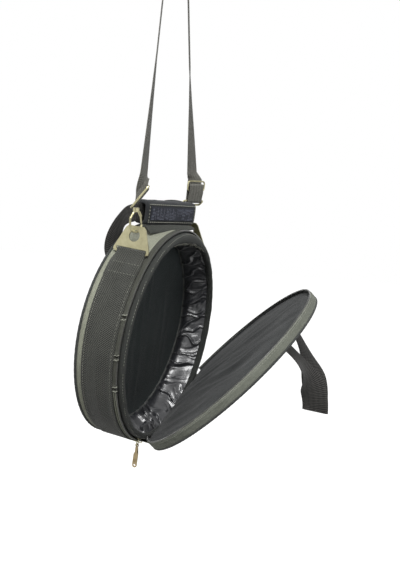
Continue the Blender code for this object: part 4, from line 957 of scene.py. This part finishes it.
# Rear carry handle: the same webbing, from two patches on the back up over the top of the drum
# into a padded grip wrap that has hook tape on its face and an open flap below.
HANDLE_TWIST = 0.8
REAR_LEFT = ((0, 0.0720, 0.1030), (0, 0.0758, 0.1150), (0, 0.0758, 0.1300),
             (0, 0.0715, 0.1480), (0, 0.0640, 0.1620))
REAR_RIGHT = ((0, 0.0790, 0.1015), (0, 0.0862, 0.1110), (0.0020, 0.0872, 0.1270),
              (0.0050, 0.0820, 0.1480), (0.0070, 0.0700, 0.1660), (0.0065, 0.0450, 0.1725))
GRIP_HALF, GRIP_TALL, GRIP_DEEP, GRIP_WALL = 0.0535, 0.0160, 0.012, 0.0035
GRIP_TURN = radians(15.0)
GRIP_MIDDLE = Vector((0.0020, 0.0330, RADIUS + 0.0195))
GRIP_ALONG = Vector((cos(GRIP_TURN), -sin(GRIP_TURN), 0))
GRIP_BACK = Vector((sin(GRIP_TURN), cos(GRIP_TURN), 0))
UP = Vector((0, 0, 1))

patch_pieces("rear_handle_patch", "rear_patch", BODY_DEPTH + GAP, 1, in_bag, "shell")


def smooth_path(points, steps):
    """A smooth curve through points."""
    padded = [points[0] * 2 - points[1]] + points + [points[-1] * 2 - points[-2]]
    path = []
    for a, b, c, d in zip(padded, padded[1:], padded[2:], padded[3:]):
        for i in range(steps):
            t = i / steps
            path.append((b * 2 + (c - a) * t + (a * 2 - b * 5 + c * 4 - d) * t * t
                         + (b * 3 - a - c * 3 + d) * t ** 3) / 2)
    return path + [points[-1]]


def rear_handle_line():
    """The handle up from both patches and through the grip."""
    hinge_y = BODY_DEPTH + PATCH + 2 * GAP + HANDLE / 2
    narrow = GRIP_TALL - GRIP_WALL - GAP
    legs = []
    for sign, loop in ((-1, REAR_LEFT), (1, REAR_RIGHT)):
        end = GRIP_MIDDLE + GRIP_ALONG * sign * (GRIP_HALF - GRIP_WALL)
        mouth = GRIP_MIDDLE + GRIP_ALONG * sign * (GRIP_HALF + GRIP_WALL * 1.5)
        through = [Vector((sign * HANDLE_SPREAD, hinge_y, ANCHOR_HEIGHT))]
        through += [Vector((sign * HANDLE_SPREAD + x, y, z)) for x, y, z in loop] + [mouth]
        points = smooth_path(through, 7)
        halves = []
        for i in range(len(points)):
            share = i / (len(points) - 1)
            twist = Vector((1, sign * HANDLE_TWIST * sin(pi * share), 0))
            halves.append(twist.lerp(UP * sign, eased(share)).normalized()
                          * (HANDLE_HALF + (narrow - HANDLE_HALF) * eased(share)))
        legs.append((points + [end], halves + [UP * sign * narrow]))
    (left, left_halves), (right, right_halves) = legs
    return left + right[::-1], left_halves + [-h for h in right_halves[::-1]]


sew_to(strip("rear_handle_webbing", *rear_handle_line(), HANDLE, handle_web, in_bag),
       "rear_handle", "webbing_charcoal", "rear_handle")

# Nylon pack cloth of the grip: near black, smooth, its grain fine and its shine low.
grip_cloth = woven("black_padded_nylon", "17181A", "3A3C3E", 0.0010, 0.5, 0.75)


def grip_point(s, b, z):
    """A point of the grip by its place along, back and up."""
    return in_bag(GRIP_MIDDLE + GRIP_ALONG * s + GRIP_BACK * b + UP * z)


def grip_wrap_row(share, wall):
    """One round of a sleeve with round corners and walls that puff between its seams."""
    end = min(share, 1 - share) * 2 * GRIP_HALF
    puff = 0.0013 * min(1.0, end / 0.012) ** 0.5 if wall == 0 else 0.0
    inside = wall + 0.0005 + (0.0014 * max(0.0, 1 - end / 0.004) ** 2 if wall == 0 else 0.0)
    row = []
    for j in range(40):
        t = 2 * pi * j / 40
        fit = (abs(cos(t)) ** 5 + abs(sin(t)) ** 5) ** (-1 / 5)
        back, tall = cos(t) * fit, sin(t) * fit
        swell = puff * (0.6 + 0.4 * ripple(share * 0.1, t * 0.01, wall, 0.012))
        row.append((grip_point((2 * share - 1) * GRIP_HALF,
                               back * (GRIP_DEEP - inside + (0.0 if back < -0.8 else swell)),
                               tall * (GRIP_TALL - inside + swell)),
                    (share * 2 * GRIP_HALF, t * 0.0137)))
    return row + row[:1]


grip_rows = [grip_wrap_row(i / 44, 0.0) for i in range(45)]
grip_rows += [grip_wrap_row(i / 44, GRIP_WALL) for i in range(44, -1, -1)]
sew_to(skin("grip_padded_wrap", grip_rows + grip_rows[:1], grip_cloth, ring=True, tube=True),
       "rear_handle", "grip_padding", "grip_wrap", fill=0.8)
edge_x, edge_z = GRIP_HALF - 0.0045, GRIP_TALL - 0.0042
border = ((-edge_x, -edge_z), (edge_x, -edge_z), (edge_x, edge_z), (-edge_x, edge_z),
          (-edge_x, -edge_z))
sew_to(stitches("grip_border_stitches", [grip_point(s, -GRIP_DEEP - 0.0001, z) for s, z in border],
                facing(in_bag, -GRIP_BACK), 0.0007), "rear_handle", "grip_padding")


# Hook tape on the grip's face: blue-black nylon with rows of tiny upright hooks, worn lighter.
# The tape is sewn inside the border, and its hooks are flattened in places.
HOOK_ROW, HOOK_STEP = 0.0019, 0.0013
TAPE_HALF, TAPE_TALL, TAPE_FACE = GRIP_HALF - 0.007, GRIP_TALL - 0.007, -GRIP_DEEP - 0.0008

# Woven nylon ground, dark with a blue cast, and stiff nylon hooks with small pale glints.
tape_nylon = woven("blue_black_hook_tape", "15161B", "30333C", 0.0012, 0.8, 0.65)
hook_nylon = woven("worn_nylon_hooks", "30323A", "5E616C", 0.0010, 0.3, 0.45, fade=0.8)


def pegs(name, blocks, finish, *nodes):
    """Small square blocks of the grip, each between two corners (along, back, up)."""
    bm = bmesh.new()
    lay = bm.loops.layers.uv.new("cloth")
    for (s0, y0, z0), (s1, y1, z1) in blocks:
        corners = ((s0, z0), (s1, z0), (s1, z1), (s0, z1))
        for face in closed_bar(bm, [[grip_point(s, y, z) for s, z in corners] for y in (y1, y0)]):
            for corner in face.loops:
                corner[lay].uv = ((s0 + s1) / 2, (z0 + z1) / 2)
    made = make_piece(name, bm, finish)
    made.data.shade_flat()
    sew_to(made, "rear_handle", "hook_tape", *nodes)


hooks = []
for i in range(1, int(2 * TAPE_HALF / HOOK_ROW)):
    for j in range(1, int(2 * TAPE_TALL / HOOK_STEP)):
        s, z = -TAPE_HALF + i * HOOK_ROW, -TAPE_TALL + j * HOOK_STEP
        worn = bumps(s / 0.0026, z / 0.016, 5.0) + 0.6 * bumps(s / 0.016, z / 0.010, 2.0)
        if worn > -0.12:
            hooks.append(((s - 0.0005, TAPE_FACE, z - 0.0005),
                          (s + 0.0004, TAPE_FACE - 0.0006 - 0.0004 * worn, z + 0.0004)))
pegs("grip_hook_patch", [((-TAPE_HALF, TAPE_FACE + 0.0007, -TAPE_TALL),
                          (TAPE_HALF, TAPE_FACE, TAPE_TALL))], tape_nylon, "grip_hook_tape")
pegs("grip_hooks", hooks, hook_nylon)


# Grip flap: a padded tongue sewn to the grip's lower front edge. It lies open and droops onto the
# top of the drum, lowest at its left end.
FLAP_LEFT, FLAP_LENGTH, FLAP_WIDE, FLAP_NARROW, FLAP_THICK = -0.054, 0.100, 0.0170, 0.0150, 0.0036

# Brushed nylon over foam: charcoal, matt, softly worn.
flap_cloth = woven("charcoal_padded_flap", "1C1D1C", "42443F", 0.0010, 0.5, 0.8)


def flap_row(share):
    s = FLAP_LEFT + FLAP_LENGTH * share
    lens = sin(pi * min(1.0, 0.08 + 0.90 * share)) ** 0.45
    wide = (FLAP_WIDE * (1 - share) + FLAP_NARROW * share) * (0.55 + 0.45 * lens)
    droop = 0.0050 * (1 - share) ** 1.4 + 0.0034
    row = []
    for j in range(20):
        t = 2 * pi * j / 20
        out = 0.5 - 0.5 * cos(t)
        lift = FLAP_THICK * lens * sin(t) * (0.65 + 0.35 * out) - droop * out ** 1.6
        puff = 0.0004 * ripple(s, out * 0.01, 0.2, 0.01) * sin(t)
        row.append((grip_point(s, -GRIP_DEEP + GRIP_WALL - wide * out,
                               -GRIP_TALL - 0.0005 + lift + puff), (s, out * wide)))
    return row + row[:1]


sew_to(skin("grip_padded_flap", [flap_row(i / 40) for i in range(41)], flap_cloth, tube=True),
       "flap", "grip_padding", "grip_flap", fill=0.5)


# Shoulder strap: 25 mm polypropylene webbing, worn grey, ribbed across. It is sewn round the left
# eye; on the right it runs through the eye and back up to its adjuster.
STRAP_HALF, STRAP, PEG_REACH = 0.0125, 0.0016, 0.007
TOP_TURN, LEG_LEFT, LEG_RIGHT = radians(-25.0), radians(-6.0), radians(10.0)
WIRE, SEAT = 0.0015, 0.0003
BEND = WIRE + SEAT + STRAP / 2
AXIS_X, AXIS_Y, AXIS_Z = 0.08827, 0.006, -0.45
HOOK_HEIGHT, BOSS_HEIGHT, BOSS_RADIUS = 0.0255, 0.0055, 0.0042
EYES = {-1: (radians(55.0), radians(52.0), (1.0, 0.35, 0.15)),
        1: (radians(31.0), 0.0, (-0.9, -0.3, 0.5))}
EYE_LENGTH, EYE_WIDTH = 0.0340, 0.0110
ADJUSTER_RISE, ADJUSTER_HALF, ADJUSTER_WIRE = 0.022, 0.007, 0.0012
SLID_UP = 0.0035                # the strap's pull slides it up the left eye's slanting bar

# Ribbed polypropylene worn grey: fuzzy, with fine ribs across.
strap_web = woven("worn_grey_strap_webbing", "33332F", "6E6D67", 0.0016, 0.8, 0.9, pattern='rib',
                  sheen=0.12, fade=0.6)


def level_way(turn):
    """A level direction, turned from +X towards -Y."""
    return Vector((cos(turn), -sin(turn), 0))


PEG_RUN = Vector((sin(TOP_TURN), cos(TOP_TURN), 0))


def eye_frame(side):
    """The strap's bar of an eye: middle and direction, and the strap's lean, rise and face."""
    turn, slant, aim = EYES[side]
    flat = level_way(turn)
    along = flat * cos(slant) + UP * sin(slant)
    other = square_on(Vector(aim), along) * EYE_WIDTH
    middle = Vector((side * AXIS_X, AXIS_Y, AXIS_Z)) + UP * (HOOK_HEIGHT + BOSS_HEIGHT + 2 * SEAT)
    if slant:
        middle += along * (EYE_LENGTH / 2 + SLID_UP) - flat * (BOSS_RADIUS + WIRE + SEAT)
    else:
        middle += UP * WIRE
    bar = middle + other
    lean = (top_end(side) - bar).normalized()
    rise = square_on(lean, along)
    return bar, along * STRAP_HALF, lean, rise, rise.cross(along).normalized()


def top_end(side):
    """The end of the strap's flat run over the peg."""
    return PEG_RUN * PEG_REACH * -side - UP * STRAP * 3.5


def wrap(centre, first, second, radius, half):
    """Webbing half way round a bar."""
    return [(centre + (first * cos(pi * i / 8) + second * sin(pi * i / 8)) * radius, half)
            for i in range(9)]


def twist_and_leg(last, start, side, turn, count):
    """A smooth twist on from the last station, then the straight leg up to the peg."""
    end = top_end(side)
    direction = (end - start).normalized()
    rest = [(start.lerp(end, i / 30), STRAP_HALF * square_on(
        level_way(turn + (TOP_TURN - turn) * min(1, i / 30 / 0.40)), direction))
            for i in range(31)]
    first, half = rest[0]
    half = half if half.dot(last[1]) > 0 else -half
    return [(last[0].lerp(first, i / count),
             last[1].lerp(half, eased(i / count)).normalized() * STRAP_HALF)
            for i in range(1, count)] + rest


def left_end():
    """Sewn end at the left eye: a short tail, the fold round the bar, then the twist."""
    bar, half, lean, rise, face = eye_frame(-1)
    made = [(bar - face * BEND + lean * s, half) for s in (0.012, 0.004)]
    made += wrap(bar, -face, -rise, BEND, half) + [(bar + face * BEND + lean * 0.004, half)]
    return made + twist_and_leg(made[-1], bar + face * BEND + lean * 0.030, -1, LEG_LEFT, 10)


def right_end():
    """Right end: sewn round the adjuster's middle bar, down round the eye and up again."""
    bar, half, lean, rise, face = eye_frame(1)
    face = -face if face.y > 0 else face
    small = ADJUSTER_WIRE + SEAT + STRAP / 2
    middle = bar + rise * ADJUSTER_RISE + face * (small + STRAP + SEAT - BEND + SEAT)
    clear = ADJUSTER_HALF + ADJUSTER_WIRE * 2
    made = [(middle - face * small - rise * 0.005, half), *wrap(middle, -face, rise, small, half),
            (middle + face * small - rise * clear, half), (bar + face * BEND + rise * 0.004, half),
            *wrap(bar, face, -rise, BEND, half),
            (bar - face * BEND + rise * (ADJUSTER_RISE + clear), half)]
    return made + twist_and_leg(
        made[-1], bar - face * BEND + lean * (ADJUSTER_RISE + 2 * clear), 1, LEG_RIGHT, 6)


over_peg = [(PEG_RUN * s * PEG_REACH + UP * STRAP / 2, level_way(TOP_TURN) * STRAP_HALF)
            for s in (0.9, 0.6, -0.6, -0.9)]
strap_line, strap_halves = zip(*(left_end() + over_peg + right_end()[::-1]))
sew_to(strip("strap_webbing_25", strap_line, strap_halves, STRAP, strap_web),
       "strap", "strap_grey", "strap_webbing")


# Metal: zinc castings and bent steel wire, nickel plated to a pale warm gold, with fine scratches.
# The zip pull is the same with its plating worn to brass.
PLATED = {"detail": 4.0, "patchy": 0.25, "Metallic": 1.0,
          "relief": ({"Scale": 900.0, "Detail": 2.0, "Distortion": 2.0}, 0.15, 0.0003)}

# Tumbled and plated: bright and warm, a little dulled in patches.
nickel = mottled("warm_nickel_plate", "B4AF90", "6E6A50", 120.0, 0.20, **PLATED)
brass = mottled("worn_brass_pull", "A39374", "665A43", 120.0, 0.22, **PLATED)


def finish_metal(finish, edge, *nodes):
    """Give CAD pieces their plating and slightly rounded edges."""
    for node in nodes:
        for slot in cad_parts[node].material_slots:
            slot.material = finish
        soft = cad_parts[node].modifiers.new("soft_edges", 'BEVEL')
        soft.width, soft.segments = edge, 2
        soft.limit_method, soft.angle_limit = 'ANGLE', radians(40)
        soft.harden_normals = True


finish_metal(nickel, 0.0004, "ring_left", "ring_right")
finish_metal(nickel, 0.0002, "hook_left", "hook_right", "gate_left", "gate_right", "eye_left",
             "eye_right", "strap_adjuster", "zip_slider", "zip_stop_left", "zip_stop_right")
finish_metal(brass, 0.0003, "pull_tab")
